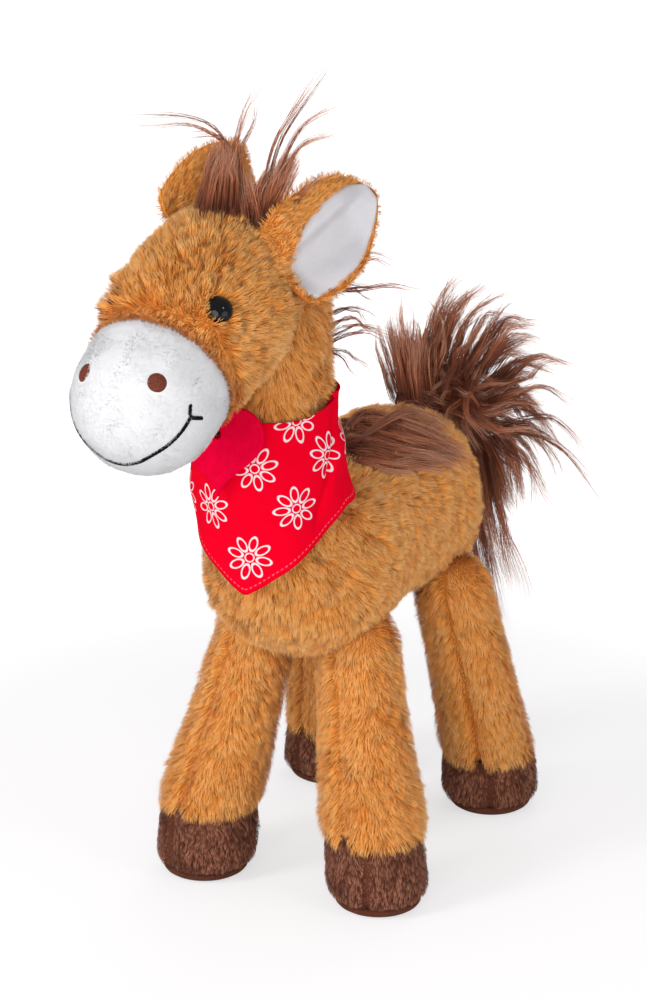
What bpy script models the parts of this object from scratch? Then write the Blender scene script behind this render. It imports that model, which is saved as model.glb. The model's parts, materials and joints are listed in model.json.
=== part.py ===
"""A plush foal that stands on four splayed legs, built from its sewn and stuffed pieces.

Metres, +Z up. The foal looks along -Y and its left side is +X. The origin lies on the ground, under
the middle of the foal's length. The pieces are modelled with the front hooves on the line Y = 0, and
the stance empty then puts that line at FRONT_HOOF_Y. Every limb that moves is rounded about its own
joint, so the seat cut for it in its neighbour stays clear of it as it turns.
"""

import math

import bmesh
import bpy
from mathutils import Matrix, Vector
from mathutils.bvhtree import BVHTree

MM = 0.001
LEFT, RIGHT = 1, -1
X_AXIS, Y_AXIS, Z_AXIS = Vector((1, 0, 0)), Vector((0, 1, 0)), Vector((0, 0, 1))

# Cloth, seams and running clearances
PILE_SKIN = 2.6 * MM
SHORT_SKIN = 1.8 * MM
SEAM_GAP = 0.35 * MM
SWING_GAP = 0.9 * MM
WELD = 0.005 * MM
OVERRUN = 6.0 * MM

# Stance
FRONT_HOOF_Y = -29.0 * MM
WHEELBASE = 119.0 * MM
FRONT_HALF_TRACK = 41.0 * MM
REAR_HALF_TRACK = 40.0 * MM
HIP_HEIGHT = 108.0 * MM
FRONT_HIP_SETBACK = 17.0 * MM
REAR_HIP_SETBACK = -21.0 * MM
FRONT_SPLAY = 18.5 * MM
REAR_SPLAY = 7.5 * MM
LEG_SWING = math.radians(12.0)

# Legs and hooves
FRONT_LEG_RADIUS = 18.7 * MM
REAR_LEG_RADIUS = 17.8 * MM
FRONT_CUFF_RADIUS = 23.0 * MM
REAR_CUFF_RADIUS = 21.2 * MM
FRONT_CUFF_DRAW_IN = 2.6 * MM
REAR_CUFF_DRAW_IN = 1.3 * MM
FRONT_CUFF_HEIGHT = 33.0 * MM
REAR_CUFF_HEIGHT = 27.0 * MM
HOOF_RADIUS = 20.3 * MM
HOOF_TUCK = 5.0 * MM
SOLE_THICKNESS = 2.4 * MM
SOLE_SEAM_HEIGHT = 4.0 * MM
SOLE_FLAT_RADIUS = 14.5 * MM
LEG_SIDES = 16

# Torso
TORSO_LENGTH = 167.0 * MM
TORSO_WIDTH = 83.0 * MM
TORSO_HEIGHT = 83.0 * MM
TORSO_ABOVE_HIP = 36.5 * MM
TORSO_MIDDLE_Z = HIP_HEIGHT + TORSO_ABOVE_HIP
CHEST_OVERHANG = 33.0 * MM
TORSO_SQUARENESS = 2.25
TORSO_SIDES = 24
INNER_SIDES = 18
ROOT_RISE = 53.5 * MM
ROOT_TOP_Z = TORSO_MIDDLE_Z + ROOT_RISE
ROOT_RIM = 2.7 * MM
ROOT_LEAN = 21.0 * MM

# Neck, and the joint in its domed top on which the head nods
NECK_RADIUS = 27.5 * MM
NECK_FORWARD = 20.0 * MM
ROOT_TOP_RADIUS = NECK_RADIUS + ROOT_RIM
NECK_SINK = 26.0 * MM
NECK_FOOT_Z = ROOT_TOP_Z - NECK_SINK
NECK_FOOT_HOLE = 12.0 * MM
NOD_ABOVE_ROOT = 58.0 * MM
NOD_HEIGHT = ROOT_TOP_Z + NOD_ABOVE_ROOT
NOD_DOWN = math.radians(12.0)
NOD_UP = math.radians(10.0)
NECK_SIDES = 18
ROOM_SIDES = 14

# Head and muzzle, along an axis that slopes down to the nose
HEAD_RADIUS = 35.5 * MM
HEAD_BACK_LENGTH = 38.0 * MM
HEAD_FRONT_LENGTH = 43.2 * MM
HEAD_FORWARD = 47.0 * MM
HEAD_RISE = 15.0 * MM
HEAD_SLOPE = math.radians(28.7)
MUZZLE_RADIUS = 29.2 * MM
MUZZLE_COLLAR = 13.6 * MM
HEAD_SIDES = 20

# Face
EYE_RADIUS = 5.0 * MM
EYE_DOME = 3.2 * MM
EYE_RIM = 1.0 * MM
EYE_STEM_RADIUS = 1.7 * MM
EYE_STEM_LENGTH = 9.0 * MM
EYE_STATION = 27.0 * MM
EYE_ANGLE = math.radians(44.0)
WASHER_RADIUS = 5.6 * MM
WASHER_THICKNESS = 1.2 * MM
NOSTRIL_RADIUS = 3.3 * MM
NOSTRIL_THICKNESS = 1.3 * MM
NOSTRIL_ANGLE = math.radians(54.6)
NOSTRIL_TILT = math.radians(68.0)
STITCH_RADIUS = 0.75 * MM

# Ears, placed from the middle of the head
EAR_LENGTH = 48.0 * MM
EAR_HALF_WIDTH = 16.5 * MM
EAR_CUP = 6.5 * MM
EAR_THICKNESS = 4.2 * MM
EAR_RIM_THICKNESS = 2.4 * MM
EAR_LINING = 1.3 * MM
LEFT_EAR_ROOT = (29.0 * MM, 10.0 * MM, 18.5 * MM)
LEFT_EAR_TIP = (45.0 * MM, 54.0 * MM, 36.0 * MM)
LEFT_EAR_FACING_SHARES = (0.68, -0.45, 0.58)
RIGHT_EAR_ROOT = (-21.0 * MM, 24.0 * MM, 23.0 * MM)
RIGHT_EAR_TIP = (-14.5 * MM, 57.0 * MM, 48.0 * MM)
RIGHT_EAR_FACING_SHARES = (-0.89, 0.39, -0.22)
EAR_FOLD = math.radians(15.0)

# Tail
TAIL_INSET = 17.0 * MM
TAIL_RISE = 27.5 * MM
TAIL_ROOT_Y = TORSO_LENGTH - CHEST_OVERHANG - TAIL_INSET
TAIL_ROOT_Z = TORSO_MIDDLE_Z + TAIL_RISE
TAIL_CORE_LENGTH = 40.0 * MM
TAIL_CORE_RADIUS = 9.0 * MM
TAIL_LEAN = math.radians(32.0)
TAIL_HAIR_SKIN = 2.4 * MM
TAIL_LIFT_SHARE = 0.12
TAIL_ARCH_SHARE = 0.16
TAIL_LIFT = math.radians(30.0)
TAIL_DROP = math.radians(8.0)

# Mane and forelock
HAIR_TIP_RADIUS = 0.5 * MM
LOCK_RADIUS = 4.4 * MM
LOCK_SIDES = 5
MANE_WIDTH = 15.0 * MM
MANE_THICKNESS = 5.0 * MM
MANE_START = math.radians(8.0)
MANE_ABOVE_NECKLINE = 6.5 * MM
FORELOCK_WIDTH = 30.0 * MM
FORELOCK_DEPTH = 16.0 * MM
FORELOCK_HEIGHT = 18.0 * MM
FORELOCK_OFFSET = 5.0 * MM
CROWN_SETBACK_SHARE = 0.55

# Bandana
CLOTH_THICKNESS = 1.1 * MM
NECKLINE_BELOW_NOD = 38.5 * MM
NECKLINE_Z = NOD_HEIGHT - NECKLINE_BELOW_NOD
NECKLINE_GAP = 1.0 * MM
BANDANA_FRONT_DROP = 74.5 * MM
BANDANA_SIDE_DROP = 46.5 * MM
BANDANA_NAPE_DROP = 20.5 * MM
BANDANA_FOLD = 1.7 * MM
BANDANA_DRAW_IN_SHARE = 0.19
BANDANA_TURN = math.radians(-5.0)
BANDANA_RIPPLE_START = math.radians(35.0)
BANDANA_PLEAT_ANGLE = math.radians(100.0)
BANDANA_PLEAT_SPREAD = math.radians(20.0)
BANDANA_STEPS = 44
BANDANA_ROWS = 8

# Heart tag and its loop
TAG_WIDTH = 39.0 * MM
TAG_HEIGHT = 35.0 * MM
TAG_THICKNESS = 2.0 * MM
TAG_HOLE_RADIUS = 2.2 * MM
TAG_OFFSET = -4.0 * MM
LOOP_RADIUS = 3.8 * MM
LOOP_WIRE = 0.45 * MM

# Colours
CARAMEL = (0.50, 0.235, 0.065)
WHITE = (0.86, 0.86, 0.87)
HOOF_BROWN = (0.105, 0.042, 0.022)
HAIR_BROWN = (0.13, 0.055, 0.035)
RED = (0.60, 0.004, 0.018)
BLACK = (0.012, 0.011, 0.012)
NOSTRIL_BROWN = (0.16, 0.05, 0.03)
STUFFING_WHITE = (0.80, 0.79, 0.76)
CLEAR_PLASTIC = (0.70, 0.70, 0.70)

# Places along the torso as shares: along its length, of its width, of its height, of the lift
TORSO_STATION_SHARES = (
    (0.009, 0.26, 0.27, 0.00),
    (0.045, 0.56, 0.58, 0.00),
    (0.107, 0.80, 0.82, 0.00),
    (0.185, 0.95, 0.965, 0.00),
    (0.260, 1.00, 1.00, 0.00),
    (0.400, 0.97, 0.965, 0.00),
    (0.540, 0.93, 0.930, 0.01),
    (0.680, 0.945, 0.945, 0.01),
    (0.790, 0.955, 0.955, 0.01),
    (0.870, 0.89, 0.895, 0.01),
    (0.935, 0.73, 0.73, 0.01),
    (0.980, 0.43, 0.43, 0.01),
)
# Up the neck root from the torso's middle: share of the rise, of the top radius, of the lean
ROOT_SHARES = (
    (-0.40, 0.86, 1.00),
    (-0.08, 1.12, 0.98),
    (0.10, 1.16, 0.95),
    (0.38, 1.08, 0.66),
    (0.62, 1.01, 0.30),
    (0.81, 1.00, 0.05),
    (1.00, 1.00, 0.00),
)
# Down the leg from hip to cuff edge: share of the way, share of the widening
LEG_TAPER_SHARES = ((0.28, 0.16), (0.55, 0.46), (0.80, 0.86), (0.93, 1.00), (1.00, 0.84))
# Up the hoof from the sole seam to the cuff edge: share of the way, share of the hoof's radius
HOOF_BULGE_SHARES = ((0.00, 0.90), (0.16, 0.985), (0.36, 1.00), (0.64, 0.965))
# Along the head: share of the back or front length, share of the head's radius
HEAD_BACK_SHARES = ((0.985, 0.17), (0.90, 0.436), (0.72, 0.694), (0.45, 0.893), (0.0, 1.0))
HEAD_FRONT_SHARES = ((0.36, 0.985), (0.70, 0.915), (1.0, 0.815))
# Half width of the ear along its length
EAR_OUTLINE_SHARES = (
    (0.0, 0.80),
    (0.18, 0.93),
    (0.40, 1.00),
    (0.62, 0.93),
    (0.80, 0.73),
    (0.93, 0.43),
    (1.0, 0.14),
)
# Forelock locks in tuft widths from the crown: root, bend, tip; then thickness in lock radii
FORELOCK_SHARES = (
    ((-0.20, -0.05, 0.0), (-0.22, 0.10, 0.40), (-0.24, 0.35, 0.72), 2.1),
    ((0.02, 0.0, 0.0), (-0.02, 0.12, 0.42), (-0.06, 0.30, 0.78), 2.0),
    ((0.22, 0.05, 0.0), (0.32, 0.40, 0.30), (0.50, 0.85, 0.45), 2.0),
    ((0.10, 0.05, 0.2), (-0.60, 0.20, 0.95), (-1.45, -0.10, 0.95), 0.5),
    ((0.00, 0.10, 0.2), (-0.02, 0.60, 0.90), (0.05, 1.00, 1.30), 0.6),
    ((0.20, 0.15, 0.2), (0.28, 0.95, 0.90), (0.40, 2.20, 1.35), 0.6),
    ((0.26, 0.15, 0.1), (0.38, 1.20, 0.55), (0.60, 2.45, 0.80), 0.6),
)
# Mane locks: share down the nape, then sideways, backward and downward reach in mane widths
MANE_SHARES = (
    (0.10, 0.25, 1.20, -0.55),
    (0.28, -0.35, 1.80, 0.10),
    (0.42, 0.65, 2.10, 0.15),
    (0.58, 0.95, 1.95, 0.35),
    (0.74, 0.35, 1.75, 0.40),
    (0.88, 1.10, 1.30, 0.45),
)
# Locks on the back as shares of the half width and length: root, bend, tip; then thickness
WITHERS_SHARES = (
    (-0.10, 0.10, 0.10, 0.26, 0.36, 0.52, 1.2),
    (0.16, 0.07, 0.34, 0.22, 0.58, 0.50, 1.6),
    (0.36, 0.05, 0.52, 0.20, 0.68, 0.50, 1.7),
    (0.52, 0.04, 0.64, 0.19, 0.74, 0.47, 1.4),
)
# Tail locks in core lengths: share up the core, then the tip from the pivot; then thickness
TAIL_LOCK_SHARES = (
    (0.95, (-0.34, 0.35, 1.38), 1.7),
    (0.97, (-0.10, 1.00, 1.42), 1.9),
    (0.97, (0.28, 1.55, 1.36), 2.0),
    (0.93, (0.75, 1.80, 0.95), 2.0),
    (0.90, (1.02, 2.12, 0.38), 2.0),
    (0.80, (1.06, 2.18, -0.25), 2.0),
    (0.70, (0.98, 2.12, -1.02), 2.2),
    (0.60, (0.68, 2.02, -1.78), 2.2),
    (0.50, (0.32, 1.85, -2.42), 2.2),
    (0.90, (-0.62, 1.45, 0.75), 1.8),
    (0.80, (-0.70, 1.70, -0.20), 2.0),
    (0.65, (-0.55, 1.65, -1.15), 2.0),
    (0.50, (-0.20, 1.55, -2.05), 2.0),
)
# The smile on the muzzle: sideways, up and forward as shares of its radius
SMILE_SHARES = (
    (0.0, -0.27, 0.96),
    (0.25, -0.22, 0.94),
    (0.47, -0.11, 0.875),
    (0.70, 0.0, 0.71),
    (0.83, 0.10, 0.55),
    (0.90, 0.20, 0.385),
)
TICK_SHARES = ((0.89, 0.345, 0.30), (0.90, 0.20, 0.385), (0.965, 0.05, 0.24))


def clear_scene():
    """Removes what a new file holds."""
    for thing in list(bpy.data.objects):
        bpy.data.objects.remove(thing, do_unlink=True)


def material(name, colour, roughness):
    """One plain Principled finish."""
    finish = bpy.data.materials.new(name)
    finish.use_nodes = True
    shader = finish.node_tree.nodes["Principled BSDF"]
    shader.inputs["Base Color"].default_value = (*colour, 1.0)
    shader.inputs["Roughness"].default_value = roughness
    shader.inputs["Metallic"].default_value = 0.0
    return finish


def solid(name, points, faces):
    """A mesh object with its faces turned outwards."""
    mesh = bpy.data.meshes.new(name)
    mesh.from_pydata([tuple(p) for p in points], [], faces)
    work = bmesh.new()
    work.from_mesh(mesh)
    bmesh.ops.recalc_face_normals(work, faces=work.faces)
    work.to_mesh(mesh)
    work.free()
    thing = bpy.data.objects.new(name, mesh)
    bpy.context.scene.collection.objects.link(thing)
    return thing


def loft(name, rings, first_tip=None, last_tip=None, joined=False):
    """Faces between rings of equal count, closed by a tip at each end or, if joined, into a ring."""
    points = [p for ring in rings for p in ring]
    count = len(rings[0])
    pairs = list(zip(range(len(rings) - 1), range(1, len(rings))))
    if joined:
        pairs.append((len(rings) - 1, 0))
    faces = []
    for a, b in pairs:
        for k in range(count):
            n = (k + 1) % count
            faces.append((a * count + k, a * count + n, b * count + n, b * count + k))
    for tip, ring in ((first_tip, 0), (last_tip, len(rings) - 1)):
        if tip is None:
            continue
        points.append(tip)
        for k in range(count):
            faces.append((ring * count + k, ring * count + (k + 1) % count, len(points) - 1))
    return solid(name, points, faces)


def oval(centre, across, upward, half_width, half_height, sides, squareness=2.0):
    """Points of a superellipse round centre, in the plane of two unit directions."""
    power = 2.0 / squareness
    points = []
    for k in range(sides):
        angle = math.tau * k / sides
        c, s = math.cos(angle), math.sin(angle)
        x = math.copysign(abs(c) ** power, c) * half_width
        z = math.copysign(abs(s) ** power, s) * half_height
        points.append(Vector(centre) + across * x + upward * z)
    return points


def level_ring(centre, radius, sides):
    """A horizontal circle of points."""
    return oval(centre, X_AXIS, Y_AXIS, radius, radius, sides)


def combine(target, tool, operation, keep_tool=False):
    """Applies an exact boolean to target and removes the tool."""
    step = target.modifiers.new("combine", "BOOLEAN")
    step.operation = operation
    step.solver = "EXACT"
    step.object = tool
    bpy.context.view_layer.update()
    evaluated = target.evaluated_get(bpy.context.evaluated_depsgraph_get())
    mesh = bpy.data.meshes.new_from_object(evaluated)
    target.modifiers.clear()
    target.data = mesh
    if not keep_tool:
        bpy.data.objects.remove(tool, do_unlink=True)
    return target


def turned_copy(thing, pivot, axis, angle):
    """A copy of a solid turned about an axis through a pivot."""
    twin = thing.copy()
    twin.data = thing.data.copy()
    bpy.context.scene.collection.objects.link(twin)
    about = Matrix.Translation(pivot) @ Matrix.Rotation(angle, 4, axis) @ Matrix.Translation(-pivot)
    twin.data.transform(about)
    return twin


def clear_of(piece, neighbour, pivot, axis, angles):
    """Cuts a moving piece clear of a neighbour at each given angle of the piece's joint."""
    for angle in angles:
        combine(piece, turned_copy(neighbour, pivot, axis, -angle), "DIFFERENCE")
    return piece


def dome(centre, radius, angles, sides):
    """Horizontal rings of a sphere at the given heights, as angles above its equator."""
    rings = []
    for angle in angles:
        place = Vector(centre) + Z_AXIS * radius * math.sin(angle)
        rings.append(level_ring(place, radius * math.cos(angle), sides))
    return rings


DOME_ANGLES = tuple(math.radians(a) for a in (74, 52, 28, 0))
COARSE_ANGLES = tuple(math.radians(a) for a in (62, 0))
SEAT_ANGLES = tuple(math.radians(a) for a in (80, 64, 48, 32, 16))


class Leg:
    """One leg: its hip joint, its hoof and the centre line between them."""

    def __init__(self, name, side, front):
        self.name = name
        half_track = FRONT_HALF_TRACK if front else REAR_HALF_TRACK
        splay = FRONT_SPLAY if front else REAR_SPLAY
        setback = FRONT_HIP_SETBACK if front else REAR_HIP_SETBACK
        line = 0.0 if front else WHEELBASE
        self.radius = FRONT_LEG_RADIUS if front else REAR_LEG_RADIUS
        self.cuff_radius = FRONT_CUFF_RADIUS if front else REAR_CUFF_RADIUS
        self.cuff_height = FRONT_CUFF_HEIGHT if front else REAR_CUFF_HEIGHT
        self.hoof = Vector((side * half_track, line, 0))
        self.hip = Vector((side * (half_track - splay), line + setback, HIP_HEIGHT))
        self.drop = HIP_HEIGHT - self.cuff_height
        draw_in = FRONT_CUFF_DRAW_IN if front else REAR_CUFF_DRAW_IN
        self.ankle = self.hoof + Vector((-side * draw_in, 0, self.cuff_height))

    def centre(self, height):
        """The centre line: straight from hip to ankle, then straight to the middle of the hoof."""
        if height > self.cuff_height:
            place = self.hip.lerp(self.ankle, (HIP_HEIGHT - height) / self.drop)
        else:
            place = self.hoof.lerp(self.ankle, height / self.cuff_height)
        return Vector((place.x, place.y, height))

    def rings(self, inset, shares=LEG_TAPER_SHARES):
        """Rings of the leg from the dome at the hip to the cuff's edge, drawn in by inset."""
        angles = DOME_ANGLES if inset == 0 else COARSE_ANGLES
        rings = dome(self.hip, self.radius - inset, angles, LEG_SIDES)
        for way, widening in shares:
            height = HIP_HEIGHT - self.drop * way
            radius = self.radius + (self.cuff_radius - self.radius) * widening - inset
            rings.append(level_ring(self.centre(height), radius, LEG_SIDES))
        return rings

    def tip(self, inset):
        """The top of the dome, drawn in by inset."""
        return self.hip + Z_AXIS * (self.radius - inset)

    def cuff_edge_radius(self):
        """Outer radius at the cuff's lower edge."""
        widening = LEG_TAPER_SHARES[-1][1]
        return self.radius + (self.cuff_radius - self.radius) * widening

    def hoof_top(self):
        """Height of the hoof's upper edge, tucked into the cuff, and its outer radius there."""
        radius = self.cuff_edge_radius() - PILE_SKIN - SEAM_GAP
        return self.cuff_height + HOOF_TUCK, radius

    def hoof_rings(self, inset):
        """Rings of the hoof from the sole seam up to its tucked edge."""
        top_z, top_radius = self.hoof_top()
        rings = []
        for way, share in HOOF_BULGE_SHARES if inset == 0 else HOOF_BULGE_SHARES[::2]:
            height = SOLE_SEAM_HEIGHT + (self.cuff_height - SOLE_SEAM_HEIGHT) * way
            rings.append(level_ring(self.centre(height), HOOF_RADIUS * share - inset, LEG_SIDES))
        if inset == 0:
            below = self.cuff_height - SEAM_GAP
            rings.append(level_ring(self.centre(below), top_radius, LEG_SIDES))
        rings.append(level_ring(self.centre(top_z), top_radius - inset, LEG_SIDES))
        return rings

    def skin(self):
        """The pile fabric tube, closed at the hip and open at the cuff."""
        outer, inner = self.rings(0.0), self.rings(PILE_SKIN, LEG_TAPER_SHARES[::2])
        return loft(self.name + "_skin", outer + inner[::-1], self.tip(0.0), self.tip(PILE_SKIN))

    def hoof_skin(self):
        """The short pile hoof, open above and below."""
        outer, inner = self.hoof_rings(0.0), self.hoof_rings(SHORT_SKIN)
        return loft(self.name + "_hoof", outer + inner[::-1], joined=True)

    def sole(self):
        """The sole patch with its flat standing face."""
        rim = HOOF_RADIUS * HOOF_BULGE_SHARES[0][1] - SHORT_SKIN - SEAM_GAP
        middle = self.centre(0.0)
        rings = [
            level_ring(middle, SOLE_FLAT_RADIUS, LEG_SIDES),
            level_ring(middle + Z_AXIS * SOLE_THICKNESS, rim, LEG_SIDES),
            level_ring(middle + Z_AXIS * SOLE_SEAM_HEIGHT, rim, LEG_SIDES),
        ]
        top = middle + Z_AXIS * SOLE_SEAM_HEIGHT
        return loft(self.name + "_sole", rings, middle, top)

    def stuffing(self):
        """The filling of leg and hoof in one piece."""
        inset = PILE_SKIN + SEAM_GAP
        rings = self.rings(inset, LEG_TAPER_SHARES[:3])
        top_z, top_radius = self.hoof_top()
        narrow = top_radius - SHORT_SKIN - SEAM_GAP
        shoulder = self.centre(top_z + SEAM_GAP)
        rings.append(level_ring(shoulder, top_radius - SEAM_GAP, LEG_SIDES))
        rings.append(level_ring(shoulder, narrow, LEG_SIDES))
        for way, share in HOOF_BULGE_SHARES[::-2]:
            height = SOLE_SEAM_HEIGHT + (self.cuff_height - SOLE_SEAM_HEIGHT) * way
            radius = min(HOOF_RADIUS * share - SHORT_SKIN - SEAM_GAP, narrow)
            rings.append(level_ring(self.centre(height), radius, LEG_SIDES))
        floor = self.centre(SOLE_SEAM_HEIGHT + SEAM_GAP)
        rings.append(level_ring(floor, SOLE_FLAT_RADIUS, LEG_SIDES))
        return loft(self.name + "_stuffing", rings, self.tip(inset), floor)

    def seat(self):
        """The space that the leg needs in the torso: its dome, and the fan that its swing sweeps."""
        reach = self.radius + SWING_GAP
        flare = math.tan(LEG_SWING) + (self.cuff_radius - self.radius) / self.drop
        depth = HIP_HEIGHT - TORSO_MIDDLE_Z + TORSO_HEIGHT / 2 + OVERRUN
        rings = dome(self.hip, reach, SEAT_ANGLES, LEG_SIDES)
        foot = self.centre(HIP_HEIGHT - depth)
        rings.append(level_ring(foot, reach + SWING_GAP + depth * flare, LEG_SIDES))
        return loft(self.name + "_seat", rings, self.hip + Z_AXIS * reach, foot)


LEGS = (
    Leg("leg_front_left", LEFT, True),
    Leg("leg_front_right", RIGHT, True),
    Leg("leg_rear_left", LEFT, False),
    Leg("leg_rear_right", RIGHT, False),
)


def torso_barrel(name, inset):
    """The body's barrel from chest to rump, drawn in by inset."""
    rings = []
    length = TORSO_LENGTH - 2 * inset
    coarse = inset > 0
    sides = INNER_SIDES if coarse else TORSO_SIDES
    for along, width, height, lift in TORSO_STATION_SHARES[1::2] if coarse else TORSO_STATION_SHARES:
        y = inset - CHEST_OVERHANG + length * along
        z = TORSO_MIDDLE_Z + TORSO_HEIGHT * lift
        half_width = max((TORSO_WIDTH / 2 - inset) * width, SEAM_GAP)
        half_height = max((TORSO_HEIGHT / 2 - inset) * height, SEAM_GAP)
        middle = Vector((0, y, z))
        rings.append(
            oval(middle, X_AXIS, Z_AXIS, half_width, half_height, sides, TORSO_SQUARENESS)
        )
    chest = Vector((0, inset - CHEST_OVERHANG, TORSO_MIDDLE_Z))
    rump_z = TORSO_MIDDLE_Z + TORSO_HEIGHT * TORSO_STATION_SHARES[-1][3]
    rump = Vector((0, inset - CHEST_OVERHANG + length, rump_z))
    return loft(name, rings, chest, rump)


def neck_root(name, inset, extra_height):
    """The rise from the chest up to the neck's seat."""
    rise = ROOT_TOP_Z - TORSO_MIDDLE_Z
    shares = ROOT_SHARES if inset <= 0 else ROOT_SHARES[::2]
    rings = []
    for up, width, lean in shares:
        middle = Vector((0, -NECK_FORWARD + ROOT_LEAN * lean, TORSO_MIDDLE_Z + rise * up))
        sides = TORSO_SIDES if inset <= 0 else INNER_SIDES
        rings.append(level_ring(middle, ROOT_TOP_RADIUS * width - inset, sides))
    if extra_height:
        rings.append([p + Z_AXIS * extra_height for p in rings[-1]])
    foot = sum(rings[0], Vector()) / len(rings[0])
    top = sum(rings[-1], Vector()) / len(rings[-1])
    return loft(name, rings, foot, top)


def torso_form(name, inset, extra_height=0.0):
    """Barrel and neck root in one."""
    return combine(torso_barrel(name, inset), neck_root("root", inset, extra_height), "UNION")


def neck_profile(inset):
    """Radius and height up the neck, from the rim of its foot to its domed top."""
    foot_rise = NECK_RADIUS * 0.9
    profile = [(NECK_FOOT_HOLE, NECK_FOOT_Z + inset)]
    for share in (0.55, 0.82, 1.0):
        radius = NECK_FOOT_HOLE + (NECK_RADIUS - NECK_FOOT_HOLE) * share - inset
        rise = foot_rise * (1 - math.sqrt(max(0.0, 1 - share * share)))
        profile.append((radius, NECK_FOOT_Z + inset + rise))
    profile.append((NECK_RADIUS - inset, (NECK_FOOT_Z + foot_rise + NOD_HEIGHT) / 2))
    for angle in DOME_ANGLES[::-1]:
        reach = NECK_RADIUS - inset
        profile.append((reach * math.cos(angle), NOD_HEIGHT + reach * math.sin(angle)))
    return profile


def neck_rings(inset, stations=slice(None), sides=NECK_SIDES):
    """The neck's profile turned about its upright axis."""
    rings = []
    for radius, height in neck_profile(inset)[stations]:
        rings.append(level_ring((0, -NECK_FORWARD, height), radius, sides))
    return rings


def neck_axis_point(height):
    """A point on the neck's upright axis."""
    return Vector((0, -NECK_FORWARD, height))


def neck_solid(name, growth):
    """The neck as one closed form, grown by a clearance."""
    facet = NECK_RADIUS * (1 / math.cos(math.pi / ROOM_SIDES) - 1)
    rings = neck_rings(-growth - facet, sides=ROOM_SIDES)
    foot = neck_axis_point(NECK_FOOT_Z - growth - facet)
    return loft(name, rings, foot, neck_axis_point(NOD_HEIGHT + NECK_RADIUS + growth + facet))


def neck_skin():
    """The neck's tube of pile fabric, with the hole at its foot."""
    outer, inner = neck_rings(0.0), neck_rings(PILE_SKIN, slice(0, None, 2))
    tips = [neck_axis_point(NOD_HEIGHT + NECK_RADIUS - inset) for inset in (0.0, PILE_SKIN)]
    return loft("neck_skin", outer[::-1] + inner, tips[0], tips[1])


NOD_PIVOT = neck_axis_point(NOD_HEIGHT)
HEAD_CENTRE = NOD_PIVOT + Vector((0, -HEAD_FORWARD, HEAD_RISE))
HEAD_OUT = Vector((0, -math.cos(HEAD_SLOPE), -math.sin(HEAD_SLOPE)))
HEAD_UP = Vector((0, -math.sin(HEAD_SLOPE), math.cos(HEAD_SLOPE)))
MUZZLE_CENTRE = HEAD_CENTRE + HEAD_OUT * (HEAD_FRONT_LENGTH + MUZZLE_COLLAR)


def head_ring(station, radius):
    """A ring across the head's axis."""
    return oval(HEAD_CENTRE + HEAD_OUT * station, X_AXIS, HEAD_UP, radius, radius, HEAD_SIDES)


def head_profile(inset):
    """Station and radius along the head, from its back to the muzzle seam."""
    back = HEAD_BACK_LENGTH - inset
    reach = HEAD_RADIUS - inset
    profile = [(-back * share, reach * radius) for share, radius in HEAD_BACK_SHARES]
    for share, radius in HEAD_FRONT_SHARES:
        profile.append((HEAD_FRONT_LENGTH * share, HEAD_RADIUS * radius - inset))
    return profile


def muzzle_profile(inset):
    """Station and radius of the muzzle, from the seam to near its tip."""
    centre = HEAD_FRONT_LENGTH + MUZZLE_COLLAR
    seam_radius = HEAD_RADIUS * HEAD_FRONT_SHARES[-1][1]
    reach = MUZZLE_RADIUS - inset
    profile = [(HEAD_FRONT_LENGTH + SEAM_GAP, seam_radius - inset)]
    for angle in DOME_ANGLES[::-1]:
        profile.append((centre + reach * math.sin(angle), reach * math.cos(angle)))
    return profile


def head_solid(name, growth):
    """The head from its back to the muzzle seam as one closed form."""
    rings = [head_ring(station, radius) for station, radius in head_profile(-growth)]
    back = HEAD_CENTRE - HEAD_OUT * (HEAD_BACK_LENGTH + growth)
    return loft(name, rings, back, HEAD_CENTRE + HEAD_OUT * HEAD_FRONT_LENGTH)


def head_skin():
    """The head's pile fabric, open at the muzzle seam."""
    outer = [head_ring(*stop) for stop in head_profile(0.0)]
    inner = [head_ring(*stop) for stop in head_profile(PILE_SKIN)[1::2]]
    tips = [HEAD_CENTRE - HEAD_OUT * (HEAD_BACK_LENGTH - inset) for inset in (0.0, PILE_SKIN)]
    return loft("head_skin", outer + inner[::-1], tips[0], tips[1])


def muzzle_skin():
    """The white cap of the muzzle."""
    outer = [head_ring(*stop) for stop in muzzle_profile(0.0)]
    inner = [head_ring(*stop) for stop in muzzle_profile(SHORT_SKIN)[::2]]
    noses = [MUZZLE_CENTRE + HEAD_OUT * (MUZZLE_RADIUS - inset) for inset in (0.0, SHORT_SKIN)]
    return loft("muzzle_skin", outer[::-1] + inner, noses[0], noses[1])


def head_stuffing():
    """The filling of head and muzzle in one piece."""
    inset = PILE_SKIN + SEAM_GAP
    stops = head_profile(inset)[1::2] + muzzle_profile(inset)[2::2]
    rings = [head_ring(*stop) for stop in stops]
    back = HEAD_CENTRE - HEAD_OUT * (HEAD_BACK_LENGTH - inset)
    nose = MUZZLE_CENTRE + HEAD_OUT * (MUZZLE_RADIUS - inset)
    return loft("head_stuffing", rings, back, nose)


def across_pair(direction):
    """Two unit directions square to a given one and to each other."""
    helper = Z_AXIS if abs(direction.z) < abs(direction.x) + abs(direction.y) else X_AXIS
    first = direction.cross(helper).normalized()
    return first, direction.cross(first).normalized()


def turned(name, place, direction, profile, sides, first=None, last=None):
    """A solid of revolution about a direction: the profile gives distance along it and radius."""
    across, upward = across_pair(direction)
    rings = []
    for along, radius in profile:
        rings.append(oval(place + direction * along, across, upward, radius, radius, sides))
    start = place + direction * (profile[0][0] if first is None else first)
    end = place + direction * (profile[-1][0] if last is None else last)
    return loft(name, rings, start, end)


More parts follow.
